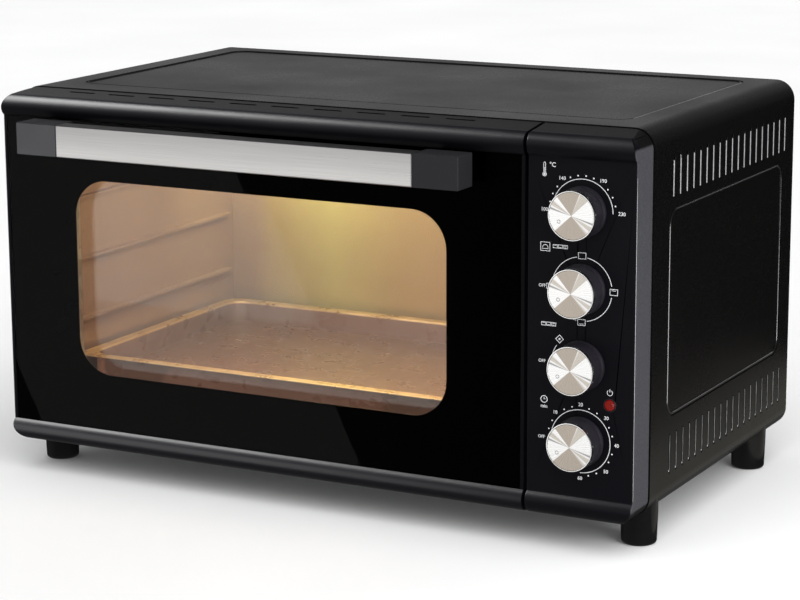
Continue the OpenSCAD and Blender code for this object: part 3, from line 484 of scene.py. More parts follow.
def newTree(name, inputs):
    # a geometry node tree with named inputs and one geometry output
    tree = bpy.data.node_groups.new(name, "GeometryNodeTree")
    for label, kind in inputs.items():
        tree.interface.new_socket(label, in_out="INPUT", socket_type="NodeSocket" + kind)
    tree.interface.new_socket("Geometry", in_out="OUTPUT", socket_type="NodeSocketGeometry")
    return tree, tree.nodes.new("NodeGroupInput").outputs, tree.nodes.new("NodeGroupOutput").inputs[0]


def geo(tree, kind, inputs=None, prefix="GeometryNode", **settings):
    # the first output of a new geometry node
    return addNode(tree, kind, inputs, prefix, **settings).outputs[0]


def finishTree(tree, geometry, material, out):
    real = geo(tree, "RealizeInstances", {0: geometry})
    tree.links.new(geo(tree, "SetMaterial", {0: real, "Material": material}), out)


def bakeTree(tree, name, values):
    # runs the tree on an empty mesh and keeps the result as a plain mesh piece
    carrier = addPiece(name + "Carrier", bpy.data.meshes.new(name + "Carrier"))
    modifier = carrier.modifiers.new(tree.name, "NODES")
    modifier.node_group = tree
    for item in tree.interface.items_tree:
        if item.in_out == "INPUT":
            modifier[item.identifier] = values[item.name]
    mesh = settledMesh(carrier)
    carrier.modifiers.clear()
    bpy.data.objects.remove(carrier)
    mesh.name = name
    return addPiece(name, mesh)


def joinPieces(name, parts):
    form = bmesh.new()
    materials = []
    for part in parts:
        mesh = part.data
        materials += [material for material in mesh.materials if material not in materials]
        form.from_mesh(mesh)
        bpy.data.objects.remove(part)
        bpy.data.meshes.remove(mesh)
    mesh = formMesh(name, form)
    for material in materials:
        mesh.materials.append(material)
    return addPiece(name, mesh)


def circle(centre, radius, first, second, steps):
    turns = [2 * math.pi * k / steps for k in range(steps)]
    return [centre + radius * (math.cos(turn) * first + math.sin(turn) * second) for turn in turns]


def tube(name, path, radius, sides, material, closed=False):
    # round wire along a path of points, its rings carried along without twist
    count = len(path)
    rings = []
    normal = None
    for i, p in enumerate(path):
        if closed:
            along = (path[(i + 1) % count] - path[i - 1]).normalized()
        else:
            along = (path[min(i + 1, count - 1)] - path[max(i - 1, 0)]).normalized()
        if normal is None:
            normal = along.orthogonal().normalized()
        normal = (normal - along * normal.dot(along)).normalized()
        rings.append(circle(p, radius, normal, along.cross(normal), sides))
    return loft(name, rings, material, closed)


def lathe(name, profile, centre, axis, material, steps):
    # profile of (radius, distance along the axis), from the centre of one end to the centre of the other
    along = Vector(axis).normalized()
    first = along.orthogonal().normalized()
    form = bmesh.new()
    rings = []
    for radius, distance in profile:
        base = centre + along * distance
        spots = circle(base, radius, first, along.cross(first), steps) if radius > 0 else [base]
        rings.append([form.verts.new(spot) for spot in spots])
    for a, b in zip(rings, rings[1:]):
        for k in range(steps):
            corners = [a[k % len(a)], a[(k + 1) % len(a)], b[(k + 1) % len(b)], b[k % len(b)]]
            corners = list(dict.fromkeys(corners))
            if len(corners) > 2:
                form.faces.new(corners)
    return smoothPiece(name, form, material, 32)


# camera: to the right of the front and a little above, on a long lens
cameraSet = {"place": (0.9842, -1.8406, 0.596), "yaw": 27.991, "down": 12.287, "roll": -0.278, "lens": 116.03}


def makeCamera(values):
    data = bpy.data.cameras.new("camera")
    data.lens = values["lens"]
    data.clip_start = 0.05
    camera = addPiece("camera", data)
    turn = Matrix.Rotation(math.radians(values["yaw"]), 3, "Z")
    turn = turn @ Matrix.Rotation(math.radians(90 - values["down"]), 3, "X")
    turn = turn @ Matrix.Rotation(math.radians(values["roll"]), 3, "Z")
    camera.matrix_world = Matrix.Translation(values["place"]) @ turn.to_4x4()
    bpy.context.scene.camera = camera


makeCamera(cameraSet)
print("camera placed")


# white scales, numbers and symbols on the control panel
printSet = {
    "depth": 0.05 * mm, "line": 0.55 * mm, "thin": 0.42 * mm, "swell": 0.05 * mm, "arc": 24.0 * mm,
    "dots": 26.5 * mm, "dot": 0.6 * mm, "digits": 2.7 * mm, "small": 2.3 * mm, "capital": 0.7,
}
dials = {
    "temperature": {
        "arcs": [(-90, 90)], "dots": [(-78, -50, 3), (-22, 19, 4), (48, 77, 3)],
        "labels": [(-91, "100", 30.5), (-35, "140", 28.6), (34, "190", 28.6), (89, "230", 31.0)]},
    "function": {
        "arcs": [(-83, -10), (10, 80), (100, 170), (190, 260)], "dots": [],
        "labels": [(-90, "OFF", 31.8)]},
    "fan": {
        "arcs": [(-82, -55)], "dots": [],
        "labels": [(-89, "OFF", 31.6)]},
    "timer": {
        "arcs": [(-88, 180)],
        "dots": [(-75, -60, 2), (-30, -15, 2), (15, 30, 2), (60, 75, 2), (105, 120, 2), (150, 165, 2)],
        "labels": [(-90, "OFF", 31.6), (-46, "10", 28.6), (0, "20", 28.0), (46, "30", 28.8), (90, "40", 29.2),
                   (135, "50", 29.4), (180, "60", 28.4)]},
}
signSet = {
    "bulb": (-49, 40.5 * mm), "bulbSize": 1.5 * mm, "pip": (0.5 * mm, 0.9 * mm), "degree": 3.3 * mm,
    "stem": [(-0.75, 1.3), (-0.75, 8.2), (-0.35, 8.8), (0.35, 8.8), (0.75, 8.2), (0.75, 1.3)],
    "modes": [(0, 24.9, 5.2, ()), (90, 25.4, 5.2, (1,)), (180, 24.9, 5.2, (-1,)), (-90, 25.8, 4.4, (1, -1))],
    "square": (7.4 * mm, 6.4 * mm), "heat": 2.9 * mm, "fanMark": (-43.5, 25.4 * mm), "diamond": 4.3 * mm,
    "markPip": (0.45 * mm, 0.8 * mm), "clock": 2.6 * mm, "minutes": 2.6 * mm, "power": 2.1 * mm,
}


def onPanel(middle, angle, radius):
    # clock angle from the top, seen from the front
    a = math.radians(angle)
    return Vector((middle.x + radius * math.sin(a), frontY, middle.z + radius * math.cos(a)))


def inkStroke(form, points, width, closed=False):
    # a flat line of ink with mitred joints, as a thin closed strip
    count = len(points)
    sides = []
    for i, p in enumerate(points):
        before = points[i - 1] if i > 0 or closed else None
        after = points[(i + 1) % count] if i < count - 1 or closed else None
        ways = []
        if before is not None:
            ways.append((p - before).normalized())
        if after is not None:
            ways.append((after - p).normalized())
        along = sum(ways, Vector()).normalized()
        out = Vector((along.z, 0, -along.x))
        stretch = 1 / max(0.35, along.dot(ways[0]))
        sides.append((p + out * width / 2 * stretch, p - out * width / 2 * stretch))
    front = Vector((0, -printSet["depth"], 0))
    back = Vector((0, printSet["depth"], 0))
    rings = [[form.verts.new(q) for q in (a + front, b + front, b + back, a + back)] for a, b in sides]
    for i in range(count if closed else count - 1):
        a, b = rings[i], rings[(i + 1) % count]
        for k in range(4):
            form.faces.new((a[k], a[(k + 1) % 4], b[(k + 1) % 4], b[k]))
    if not closed:
        form.faces.new(rings[0][::-1])
        form.faces.new(rings[-1])


def inkArc(form, middle, radius, start, end, width):
    steps = max(6, int(abs(end - start) / 4))
    points = [onPanel(middle, start + (end - start) * i / steps, radius) for i in range(steps + 1)]
    inkStroke(form, points, width)


def inkRing(form, middle, radius, width, steps=20):
    inkStroke(form, [onPanel(middle, 360 * i / steps, radius) for i in range(steps)], width, True)


def inkBox(form, middle, width, height, line, turn=0.0):
    corners = []
    for sx, sz in ((1, 1), (-1, 1), (-1, -1), (1, -1)):
        x, z = sx * width / 2, sz * height / 2
        c, s = math.cos(turn), math.sin(turn)
        corners.append(Vector((middle.x + x * c - z * s, frontY, middle.z + x * s + z * c)))
    inkStroke(form, corners, line, True)


def inkText(form, words, middle, height):
    curve = bpy.data.curves.new("label", "FONT")
    curve.body = words
    curve.size = height / printSet["capital"]
    curve.align_x = "CENTER"
    curve.align_y = "CENTER"
    curve.extrude = printSet["depth"]
    curve.offset = printSet["swell"]
    curve.resolution_u = 3
    holder = addPiece("label", curve)
    mesh = settledMesh(holder)
    mesh.materials.clear()
    mesh.transform(Matrix.Translation(middle) @ Matrix.Rotation(math.radians(90), 4, "X"))
    form.from_mesh(mesh)
    bpy.data.objects.remove(holder)
    bpy.data.curves.remove(curve)
    bpy.data.meshes.remove(mesh)


def dotTree():
    # dots at even steps along an arc round a dial
    tree, given, out = newTree("dialDots", {
        "Middle": "Vector", "Radius": "Float", "Start": "Float", "Sweep": "Float", "Count": "Int",
        "Dot": "Float", "Depth": "Float"})
    arc = geo(tree, "CurveArc", {"Resolution": given["Count"], "Radius": given["Radius"],
                                 "Start Angle": given["Start"], "Sweep Angle": given["Sweep"]})
    dot = geo(tree, "MeshCylinder", {"Vertices": 12, "Radius": given["Dot"], "Depth": given["Depth"]})
    spots = geo(tree, "InstanceOnPoints", {"Points": arc, "Instance": dot})
    stood = geo(tree, "Transform", {"Geometry": spots, "Rotation": (math.pi / 2, 0, 0),
                                    "Translation": given["Middle"]})
    finishTree(tree, stood, plain["whiteInk"], out)
    return tree


def heatIcon(form, middle, size, bars):
    # a small oven outline with its heat bars at the top, the bottom or both
    inkBox(form, middle, size * 1.15, size * 0.85, printSet["thin"])
    for side in bars:
        z = middle.z + side * size * 0.22
        ends = [Vector((middle.x - size * 0.32, frontY, z)), Vector((middle.x + size * 0.32, frontY, z))]
        inkStroke(form, ends, printSet["thin"])


def aside(middle, x, z):
    # a spot on the panel beside another
    return Vector((middle.x + x * mm, frontY, middle.z + z * mm))


def dialScales(form):
    for name, dial in dials.items():
        middle = knobMid[name]
        for start, end in dial["arcs"]:
            inkArc(form, middle, printSet["arc"], start, end, printSet["line"])
        for angle, words, radius in dial["labels"]:
            height = printSet["small"] if words == "OFF" else printSet["digits"]
            inkText(form, words, onPanel(middle, angle, radius * mm), height)


def panelSigns(form):
    line, thin = printSet["line"], printSet["thin"]
    # thermometer and degree sign above the temperature dial
    bulb = aside(onPanel(knobMid["temperature"], *signSet["bulb"]), 0, -1)
    inkRing(form, bulb, signSet["bulbSize"], thin)
    inkRing(form, bulb, *signSet["pip"], 10)
    inkStroke(form, [aside(bulb, x, z) for x, z in signSet["stem"]], thin)
    inkStroke(form, [aside(bulb, 0, 1), aside(bulb, 0, 5)], thin)
    inkText(form, "°C", aside(bulb, 6.4, 7.2), signSet["degree"])
    # heating modes round the function dial
    for angle, radius, size, bars in signSet["modes"]:
        heatIcon(form, onPanel(knobMid["function"], angle, radius * mm), size * mm, bars)
    # titles: a dish in a square, then a row of small heat signs
    square = aside(knobMid["function"], -29.6, 29.4)
    inkBox(form, square, *signSet["square"], thin)
    arch = [math.pi * i / 10 for i in range(11)]
    inkStroke(form, [aside(square, 2.2 * math.cos(a), 2.4 * math.sin(a) - 1) for a in arch], thin)
    inkStroke(form, [aside(square, -2.7, -1.6), aside(square, 2.7, -1.6)], thin)
    for row in (aside(square, 8, 0.8), aside(knobMid["fan"], -30.5, 29)):
        for i, bars in enumerate(((1,), (-1,), (1, -1))):
            heatIcon(form, aside(row, i * 4.1, 0), signSet["heat"], bars)
    # the fan dial's one mark
    mark = onPanel(knobMid["fan"], *signSet["fanMark"])
    inkBox(form, mark, signSet["diamond"], signSet["diamond"], line, math.radians(45))
    inkRing(form, mark, *signSet["markPip"], 10)
    # clock sign over the timer and a switch-on sign over the lamp
    clock = aside(knobMid["timer"], -29.7, 29)
    inkRing(form, clock, signSet["clock"], line)
    inkStroke(form, [aside(clock, 0, 1.7), clock, aside(clock, 1.1, 0.5)], thin)
    inkText(form, "min", aside(clock, 0, -5.4), signSet["minutes"])
    power = aside(midOf("indicator_lens"), 0, 9.4)
    inkArc(form, power, signSet["power"], 35, 325, thin)
    inkStroke(form, [aside(power, 0, 0.3), aside(power, 0, 2.9)], thin)


def fasciaPrint():
    form = bmesh.new()
    dialScales(form)
    panelSigns(form)
    bmesh.ops.recalc_face_normals(form, faces=form.faces)
    mesh = formMesh("fasciaPrint", form)
    mesh.materials.append(plain["whiteInk"])
    parts = [addPiece("fasciaLines", mesh)]
    tree = dotTree()
    for name, dial in dials.items():
        for start, end, count in dial["dots"]:
            parts.append(bakeTree(tree, "dots", {
                "Middle": (knobMid[name].x, frontY, knobMid[name].z), "Radius": printSet["dots"],
                "Start": math.radians(90 - start), "Sweep": -math.radians(end - start), "Count": count,
                "Dot": printSet["dot"], "Depth": 2 * printSet["depth"]}))
    place(joinPieces("fasciaPrint", parts), "root", "white_print")


fasciaPrint()
print("control panel printed")


# spun metal caps with a raised rim and a small ring as the pointer
capSet = {"rim": 1.15 * mm, "dish": 0.28 * mm, "edge": 0.35 * mm, "wall": 0.55 * mm, "roof": 1.15 * mm,
          "dimple": 1.25 * mm, "dimpleWire": 0.22 * mm, "dimpleAt": 0.59, "dimpleTurn": -116}


def knobCap(name):
    node = name + "_cap"
    low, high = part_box(node)
    radius = (high.x - low.x) / 2
    front, back = low.y, high.y
    centre = Vector((knobMid[name].x, 0, knobMid[name].z))
    rim, dish, edge = capSet["rim"], capSet["dish"], capSet["edge"]
    inner = radius - capSet["wall"]
    profile = [(0, front + dish)]
    profile += [(radius * i / 10, front + dish) for i in range(1, 9)]
    profile += [(radius - rim, front + dish), (radius - rim + 0.2 * mm, front + 0.1 * mm),
                (radius - rim + 0.4 * mm, front + 0.02 * mm), (radius - edge * 1.1, front + 0.02 * mm),
                (radius - edge * 0.4, front + edge * 0.35), (radius, front + edge * 1.1), (radius, back),
                (inner, back), (inner, front + capSet["roof"]), (0, front + capSet["roof"])]
    cap = lathe(name + "Cap", profile, centre, (0, 1, 0), spunMetal(name, midOf(node)), 96)
    cap.data.materials.append(plain["rimMetal"])
    for face in cap.data.polygons:
        away = face.center - centre
        if math.hypot(away.x, away.z) > radius - rim * 0.85:
            face.material_index = 1
    spot = onPanel(knobMid[name], capSet["dimpleTurn"], radius * capSet["dimpleAt"])
    spot.y = front + dish
    ring = circle(spot, capSet["dimple"], acrossWay, upWay, 24)
    dimple = tube(name + "Dimple", ring, capSet["dimpleWire"], 6, finish["zinc_sheet"], True)
    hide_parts(node)
    place(cap, nodeBody[node], "spun_metal")
    place(dimple, nodeBody[node], "spun_metal")


for name in knobNames:
    knobCap(name)
print("knob caps made:", len(knobNames))


# rounded lips inside the vent slots, with pale rods and beads in them as painted light: they stand in for the
# bright bars and drops of light seen in the slots
ventSet = {"sides": 6, "sink": 0.3 * mm}
slotRow = {"first": -82.1 * mm, "pitch": 13.4 * mm, "count": 19, "off": 106.5 * mm, "width": 3.1 * mm,
           "length": 31.4 * mm, "lip": 0.26 * mm}
ventRods = {
    "sink": 0.05 * mm,
    "upperRod": {"row": 1, "radius": 0.95 * mm, "length": 27 * mm, "shift": 0.3 * mm, "rise": -1.6 * mm},
    "upperBead": {"row": 1, "radius": 1.05 * mm, "length": 0.0, "shift": 0.3 * mm, "rise": -14.2 * mm},
    "lowerRod": {"row": -1, "radius": 0.35 * mm, "length": 27 * mm, "shift": 1.1 * mm, "rise": 0.6 * mm},
    "lowerBead": {"row": -1, "radius": 1.0 * mm, "length": 0.0, "shift": 0.1 * mm, "rise": -13.6 * mm},
}


def rowOf(tree, given):
    return geo(tree, "MeshLine", {"Count": given["Count"], "Start Location": given["First"],
                                  "Offset": given["Step"]})


def ventTree(material):
    # a wire ring round each slot, its row running along one direction
    tree, given, out = newTree("ventLips", {
        "First": "Vector", "Step": "Vector", "Count": "Int", "Turn": "Vector", "Width": "Float",
        "Length": "Float", "Lip": "Float", "Sides": "Int"})
    outline = geo(tree, "CurvePrimitiveQuadrilateral", {"Width": given["Width"], "Height": given["Length"]})
    corner = geo(tree, "Math", {0: given["Width"], 1: 0.495}, "ShaderNode", operation="MULTIPLY")
    rounded = geo(tree, "FilletCurve", {"Curve": outline, "Count": 5, "Radius": corner}, mode="POLY")
    section = geo(tree, "CurvePrimitiveCircle", {"Resolution": given["Sides"], "Radius": given["Lip"]})
    lip = geo(tree, "CurveToMesh", {"Curve": rounded, "Profile Curve": section})
    row = rowOf(tree, given)
    spots = geo(tree, "InstanceOnPoints", {"Points": row, "Instance": lip, "Rotation": given["Turn"]})
    finishTree(tree, spots, material, out)
    return tree


def lipRow(tree, name, first, step, turn, slots):
    return bakeTree(tree, name, {
        "First": first, "Step": step, "Count": slots["count"], "Turn": turn, "Width": slots["width"],
        "Length": slots["length"], "Lip": slots["lip"], "Sides": ventSet["sides"]})


def rodTree(material):
    # a row of upright rods, or of small beads when the rods have no length
    tree, given, out = newTree("ventRods", {
        "First": "Vector", "Step": "Vector", "Count": "Int", "Radius": "Float", "Length": "Float"})
    row = rowOf(tree, given)
    rod = geo(tree, "MeshCylinder", {"Vertices": 10, "Radius": given["Radius"], "Depth": given["Length"]})
    bead = geo(tree, "MeshIcoSphere", {"Radius": given["Radius"], "Subdivisions": 2})
    short = geo(tree, "Compare", {0: given["Length"], 1: 0.001}, "FunctionNode", operation="LESS_THAN")
    shape = geo(tree, "Switch", {0: short, 1: rod, 2: bead}, input_type="GEOMETRY")
    finishTree(tree, geo(tree, "InstanceOnPoints", {"Points": row, "Instance": shape}), material, out)
    return tree


def sideVents():
    # the rows sit symmetrically about the mid height of the shell, the same on both sides
    lipTree = ventTree(finish["shell_paint"])
    lightRodTree, beadTree, plainTree = [rodTree(material) for material in (
        plain["paintedVentLight"], finish["ceramic"], finish["zinc_sheet"])]
    lips, bright, dull = [], [], []
    first, step = slotRow["first"], (0, slotRow["pitch"], 0)
    for side in (-1, 1):
        for row in (-1, 1):
            spot = (side * (bodyHigh.x - ventSet["sink"]), first, bodyMidZ + row * slotRow["off"])
            lips.append(lipRow(lipTree, "lips", spot, step, (math.pi / 2, 0, math.pi / 2), slotRow))
        # painted light: pale rods and beads in the upper slots, and pale beads and thin zinc rods in the
        # lower ones, stand in for the light seen in the slots
        for kind, tree, kept in (("upperRod", lightRodTree, bright), ("upperBead", beadTree, bright),
                                 ("lowerRod", plainTree, dull), ("lowerBead", beadTree, bright)):
            rod = ventRods[kind]
            x = side * (bodyHigh.x - ventRods["sink"] - rod["radius"])
            z = bodyMidZ + rod["row"] * slotRow["off"] + rod["rise"]
            kept.append(bakeTree(tree, "rods", {
                "First": (x, first + rod["shift"], z), "Step": step, "Count": slotRow["count"],
                "Radius": rod["radius"], "Length": rod["length"]}))
    place(joinPieces("sideVentLips", lips), "root", "shell_paint")
    place(joinPieces("sideVentLightRods", bright), "root", "ceramic")
    place(joinPieces("sideVentRods", dull), "root", "zinc_sheet")


sideVents()


# slots along the top of the door, with the same rounded lips
stripRow = {"count": 10, "pitch": 38 * mm, "width": 2.5 * mm, "length": 24.3 * mm, "behind": 9 * mm,
            "lip": 0.35 * mm, "drop": 3 * mm, "slope": 0.123}


def stripVents():
    low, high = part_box("door_top_rail")
    firstX = (low.x + high.x) / 2 - (stripRow["count"] - 1) * stripRow["pitch"] / 2
    y = bodyLow.y - stripRow["behind"]
    fall = stripRow["drop"] / (high.y - 0.7 * mm - low.y)  # the strip falls towards the roll
    z = high.z - (high.y - y) * stripRow["slope"] - stripRow["lip"] * 0.8
    tree = ventTree(finish["front_plastic"])
    step, turn = (stripRow["pitch"], 0, 0), (0, -math.atan(fall), math.pi / 2)
    lips = lipRow(tree, "doorVentLips", (firstX, y, z), step, turn, stripRow)
    place(lips, "door", "front_plastic")


stripVents()
print("vents lipped")


# rolled beads along the edges of the pressed fields in the shell's sides and top
pressSet = {"bead": 0.8 * mm, "corner": 12 * mm, "front": 33 * mm, "rear": 26 * mm, "down": 76 * mm,
            "up": 81 * mm, "topIn": 36 * mm, "topFront": 32 * mm, "topRear": 20 * mm}


def pressBeads():
    r = pressSet["bead"]
    y0, y1 = bodyLow.y + pressSet["front"], bodyHigh.y - pressSet["rear"]
    z0, z1 = bodyMidZ - pressSet["down"], bodyMidZ + pressSet["up"]
    outline = roundRect(y1 - y0, z1 - z0, pressSet["corner"], 8)
    paths = []
    for side in (-1, 1):
        x = side * (bodyHigh.x - r)
        paths.append([Vector((x, (y0 + y1) / 2 + a, (z0 + z1) / 2 + b)) for a, b in outline])
    x1 = bodyHigh.x - pressSet["topIn"]
    y0, y1 = bodyLow.y + pressSet["topFront"], bodyHigh.y - pressSet["topRear"]
    outline = roundRect(2 * x1, y1 - y0, pressSet["corner"], 8)
    paths.append([Vector((a, (y0 + y1) / 2 + b, bodyHigh.z - r)) for a, b in outline])
    beads = [tube("bead", path, r, 10, finish["shell_paint"], True) for path in paths]
    place(joinPieces("pressBeads", beads), "root", "shell_paint")


pressBeads()
print("pressed fields edged")


# hem: the rolled front edge of the shell
hemSet = {"radius": 0.6 * mm, "corner": 16 * mm, "gap": 24 * mm}


def shellHem():
    r = hemSet["radius"]
    middle = (bodyLow + bodyHigh) / 2
    width, height = bodyHigh.x - bodyLow.x - 2 * r, bodyHigh.z - bodyLow.z - 2 * r
    y = bodyLow.y + r
    outline = roundRect(width, height, hemSet["corner"] - r, 10)
    points = [Vector((middle.x + x, y, middle.z + z)) for x, z in outline]
    # the hem starts and stops where the shell's underside is open
    lastCorner = len(points) * 3 // 4
    start = Vector((bodyHigh.x - hemSet["gap"], y, bodyLow.z + r))
    stop = Vector((bodyLow.x + hemSet["gap"], y, bodyLow.z + r))
    path = [start] + points[lastCorner:] + points[:lastCorner] + [stop]
    place(tube("shellHem", path, r, 8, finish["shell_paint"]), "root", "shell_paint")


shellHem()
print("hem rolled")


# moulded bead down the right edge of the control panel
edgeSet = {"radius": 0.5 * mm, "top": 31 * mm, "bottom": 20 * mm}


def panelEdge():
    r = edgeSet["radius"]
    x, y = panelHigh.x - r, frontY + r
    z0, z1 = panelLow.z + edgeSet["bottom"], panelHigh.z - edgeSet["top"]
    path = [Vector((x, y, z0 + (z1 - z0) * i / 12)) for i in range(13)]
    place(tube("panelEdge", path, r, 12, finish["foot_plastic"]), "root", "front_plastic")


panelEdge()
print("panel edge beaded")


# feet: smooth tapered mouldings with a rounded foot edge
footSet = {"taper": 0.9 * mm, "edge": 2.6 * mm, "shoulder": 25 * mm, "gap": 0.4 * mm}


def ovenFeet(nodeName, pieceName):
    low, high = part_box(nodeName)
    radius = (high.y - low.y) / 2
    bottom = radius - footSet["taper"]
    e = footSet["edge"]
    profile = [(0, 0), (bottom * 0.5, 0), (bottom - e, 0)]
    profile += [(bottom - e + e * math.sin(math.radians(a)), e - e * math.cos(math.radians(a)))
                for a in range(15, 91, 15)]
    rise = high.z - low.z - footSet["gap"]
    profile += [(bottom + footSet["taper"] * 0.8, footSet["shoulder"]), (radius - 0.1 * mm, rise),
                (radius - 2 * mm, rise), (0, rise)]
    feet = []
    for side in (-1, 1):
        centre = Vector((side * (high.x - radius), (low.y + high.y) / 2, 0))
        feet.append(lathe("foot", profile, centre, (0, 0, 1), finish["foot_plastic"], 56))
    feet = joinPieces(pieceName, feet)
    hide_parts(nodeName)
    place(feet, "root", "foot_plastic")


ovenFeet("front_feet", "frontFeet")
ovenFeet("rear_feet", "rearFeet")
print("feet turned")


# a thin ring round the power lamp, and the coil of the oven lamp
lampSet = {"ringGap": 0.75 * mm, "ringWire": 0.42 * mm, "proud": 0.1 * mm,
           "coil": 9 * mm, "coilRadius": 0.9 * mm, "coilWire": 0.22 * mm, "coilSteps": 60, "coilTurn": 0.9}


def lensRing():
    low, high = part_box("indicator_lens")
    lens = midOf("indicator_lens")
    lens.y = frontY - lampSet["proud"]
    ring = circle(lens, (high.x - low.x) / 2 + lampSet["ringGap"], acrossWay, upWay, 40)
    ring = tube("lensRing", ring, lampSet["ringWire"], 10, finish["knob_plastic"], True)
    place(ring, "root", "knob_plastic")


lensRing()


def filament():
    centre = midOf("lamp_bulb")
    r, steps = lampSet["coilRadius"], lampSet["coilSteps"]
    turns = []
    for i in range(steps + 1):
        a = i * lampSet["coilTurn"]
        turns.append(centre + Vector(((i / steps - 0.5) * lampSet["coil"], r * math.cos(a), r * math.sin(a))))
    place(tube("filament", turns, lampSet["coilWire"], 6, finish["bulb_glass"]), "root", "bulb_glass")


filament()
print("lamp details made")


# a pale floor, soft light and a room for the glossy surfaces to see
floorSize = 60.0


def studioFloor():
    form = bmesh.new()
    bmesh.ops.create_grid(form, x_segments=1, y_segments=1, size=floorSize / 2)
    mesh = formMesh("floor", form)
    mesh.materials.append(plain["paleFloor"])
    floor = addPiece("floor", mesh)
    floor.visible_glossy = False


def grey(level):
    return (level, level, level)


# what glossy surfaces see by direction: a dim room, darker behind, with a pale ground far below
roomSet = {
    "above": [(0.0, grey(0.0)), (0.47, grey(0.0)), (0.55, (0.34, 0.335, 0.34)), (0.64, (0.34, 0.335, 0.34)),
              (0.72, grey(0.05)), (1.0, grey(0.05))],
    "rightward": [(0.5, grey(1.0)), (0.62, grey(0.12)), (1.0, grey(0.12))],
    "below": [(0.0, (0.12, 0.12, 0.13)), (0.45, (0.11, 0.108, 0.11)), (0.6, (0.02, 0.019, 0.018)),
              (1.0, (0.02, 0.019, 0.018))],
    "leftward": [(0.17, grey(1.0)), (0.33, grey(0.6)), (1.0, grey(0.6))],
    "ground": [(0.0, grey(0.14)), (0.27, grey(0.14)), (0.34, grey(0.0)), (1.0, grey(0.0))],
    "soft": (0.5, 0.5, 0.505), "shown": (1.0, 1.0, 1.0),
}


def world():
    made = bpy.data.worlds.new("studio")
    bpy.context.scene.world = made
    made.use_nodes = True
    tree = made.node_tree
    rays = addNode(tree, "LightPath").outputs
    way = addNode(tree, "SeparateXYZ", {0: addNode(tree, "TexCoord").outputs["Generated"]}).outputs

    def level(name, axis):
        return ramp(tree, spread(tree, way[axis], 0, 1, -1, 1), roomSet[name])

    above = blendColour(tree, 1.0, level("above", 2), level("rightward", 0), "MULTIPLY")
    below = blendColour(tree, 1.0, level("below", 1), level("leftward", 0), "MULTIPLY")
    seen = blendColour(tree, 1.0, above, below, "LIGHTEN")
    seen = blendColour(tree, 1.0, seen, level("ground", 2), "LIGHTEN")
    soft = blendColour(tree, rays["Is Glossy Ray"], roomSet["soft"], seen)
    shown = blendColour(tree, rays["Is Camera Ray"], soft, roomSet["shown"])
    tree.links.new(shown, tree.nodes["Background"].inputs["Color"])


sunSet = {"strength": 2.2, "angle": 75, "way": (-0.35, 0.45, -0.82)}


def skyLight():
    data = bpy.data.lights.new("skyLight", "SUN")
    data.energy = sunSet["strength"]
    data.angle = math.radians(sunSet["angle"])
    lamp = addPiece("skyLight", data)
    lamp.matrix_world = Vector(sunSet["way"]).to_track_quat("-Z", "Y").to_matrix().to_4x4()
    lamp.visible_glossy = False


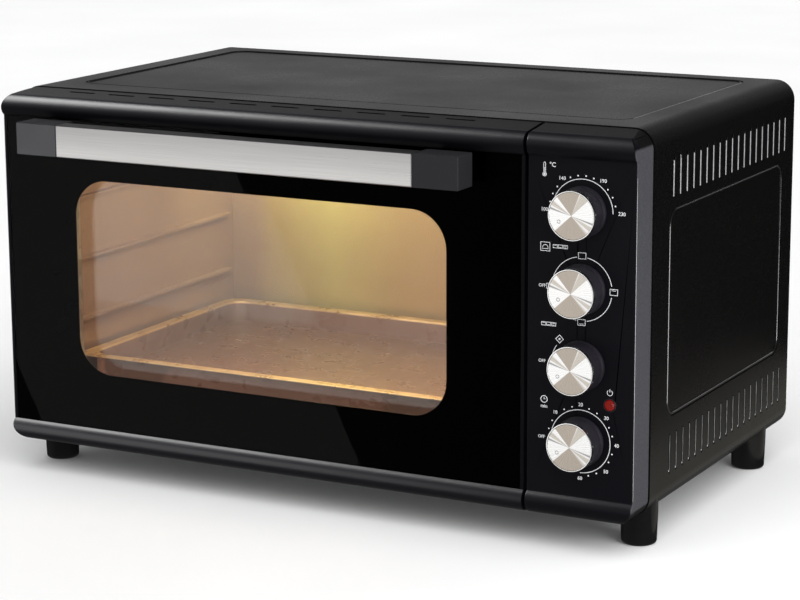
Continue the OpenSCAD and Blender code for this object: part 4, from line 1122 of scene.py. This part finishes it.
# soft cards: where each one stands, what it aims at, its size in metres, its power in watts,
# and the only pieces that it reaches, where it doesn't light everything
backLow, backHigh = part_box("cavity_back")
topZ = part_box("cavity_top")[0].z
cavityX = (backLow.x + backHigh.x) / 2 + 30 * mm
inside = ["baking_tray", "wire_rack", "cavity_floor", "crumb_tray"]
cards = {
    "leftGlow": {"spot": (-1.05, -0.35, 1.2), "aim": (-0.2, -0.15, 0.3), "size": (0.9, 0.9), "watts": 40,
                 "reach": ["door_top_rail", "door_bottom_rail", "control_panel"]},
    "edgeLight": {"spot": (0.725, -0.31, 0.19), "aim": (0.28, -0.13, 0.19), "size": (0.4, 0.36),
                  "watts": 1.5},
    "pressLine": {"spot": (0.6, -0.3, 0.08), "aim": (0.28, -0.09, 0.15), "size": (0.3, 0.3), "watts": 7.0,
                  "reach": ["pressBeads", "shellHem", "panelEdge"]},
    "topLine": {"spot": (0.55, 1.1, 0.65), "aim": (0.25, 0.0, 0.32), "size": (0.5, 0.5), "watts": 1.8,
                "reach": ["pressBeads", "shellHem"]},
    "hemLine": {"spot": (-0.6, -0.4, 1.3), "aim": (0.0, -0.12, 0.32), "size": (0.9, 0.5), "watts": 26,
                "reach": ["shellHem"]},
    "metalCard": {"spot": (-0.45, -1.0, 0.05), "aim": (0.1, 0.0, 0.2), "size": (1.3, 0.9), "watts": 3.8,
                  "reach": [name + "Cap" for name in knobNames] + ["handle_bar"]},
    "windowGlare": {"spot": (-0.535, -0.7, 0.03), "aim": (-0.535, 0.0, 0.03), "size": (0.36, 0.6),
                    "watts": 0.34, "roll": 26, "reach": ["outer_glass"]},
    "rollCard": {"spot": (-0.55, -0.6, 0.01), "aim": (-0.2, -0.15, 0.1), "size": (0.9, 0.5), "watts": 3.4,
                 "reach": ["door_bottom_rail", "handle_left_end"]},
    "sideSheen": {"spot": (0.335, 0.2, 0.004), "aim": (0.335, 0.2, 1.0), "size": (0.09, 0.6), "watts": 0.05,
                  "colour": (1.0, 0.97, 0.86), "diffuse": False},
    "rearCard": {"spot": (0.0, 1.3, 0.0), "aim": (0.0, 0.185, 0.16), "size": (2.6, 0.7), "watts": 9,
                 "reach": ["rear_cover", "rear_screws", "cable_gland"]},
    # warm light in the cavity
    "cavityGlow": {"spot": (cavityX, -0.01, topZ - 4 * mm), "aim": (cavityX, 0.06, 0.1), "size": (0.34, 0.14),
                   "watts": 1.65, "colour": (1.0, 0.82, 0.58)},
    "lampGlow": {"spot": (-0.17, 0.08, topZ - 20 * mm), "aim": (-0.17, 0.163, topZ - 50 * mm),
                 "size": (0.16, 0.03), "watts": 0.36, "colour": (1.0, 0.98, 0.5)},
    "trayGlow": {"spot": (-0.03, backLow.y - 0.24, 0.13), "aim": (-0.03, backLow.y - 0.1, 0.03),
                 "size": (0.36, 0.06), "watts": 0.35, "colour": (1.0, 0.78, 0.66), "reach": inside},
    "frontGlow": {"spot": (-0.1, -0.34, 0.16), "aim": (-0.05, -0.1, 0.06), "size": (0.6, 0.2), "watts": 2.0,
                  "colour": (1.0, 0.76, 0.68), "reach": inside},
}


def softCard(name, spot, aim, size, watts, colour=(1, 1, 1), roll=0.0, diffuse=True, reach=None):
    data = bpy.data.lights.new(name, "AREA")
    data.shape = "RECTANGLE"
    data.size, data.size_y = size
    data.energy = watts
    data.color = colour
    lamp = addPiece(name, data)
    way = (Vector(aim) - Vector(spot)).normalized()
    turn = way.to_track_quat("-Z", "Y").to_matrix() @ Matrix.Rotation(math.radians(roll), 3, "Z")
    lamp.matrix_world = Matrix.Translation(spot) @ turn.to_4x4()
    lamp.visible_camera = False
    lamp.visible_diffuse = diffuse
    if reach:
        lit = bpy.data.collections.new(name + "Reach")
        for piece in reach:
            lit.objects.link(nodes.get(piece) or bpy.data.objects[piece])
        lamp.light_linking.receiver_collection = lit
        lamp.light_linking.blocker_collection = lit


studioFloor()
world()
skyLight()
for name, card in cards.items():
    softCard(name, **card)
print("floor and lights set:", len(cards), "cards")
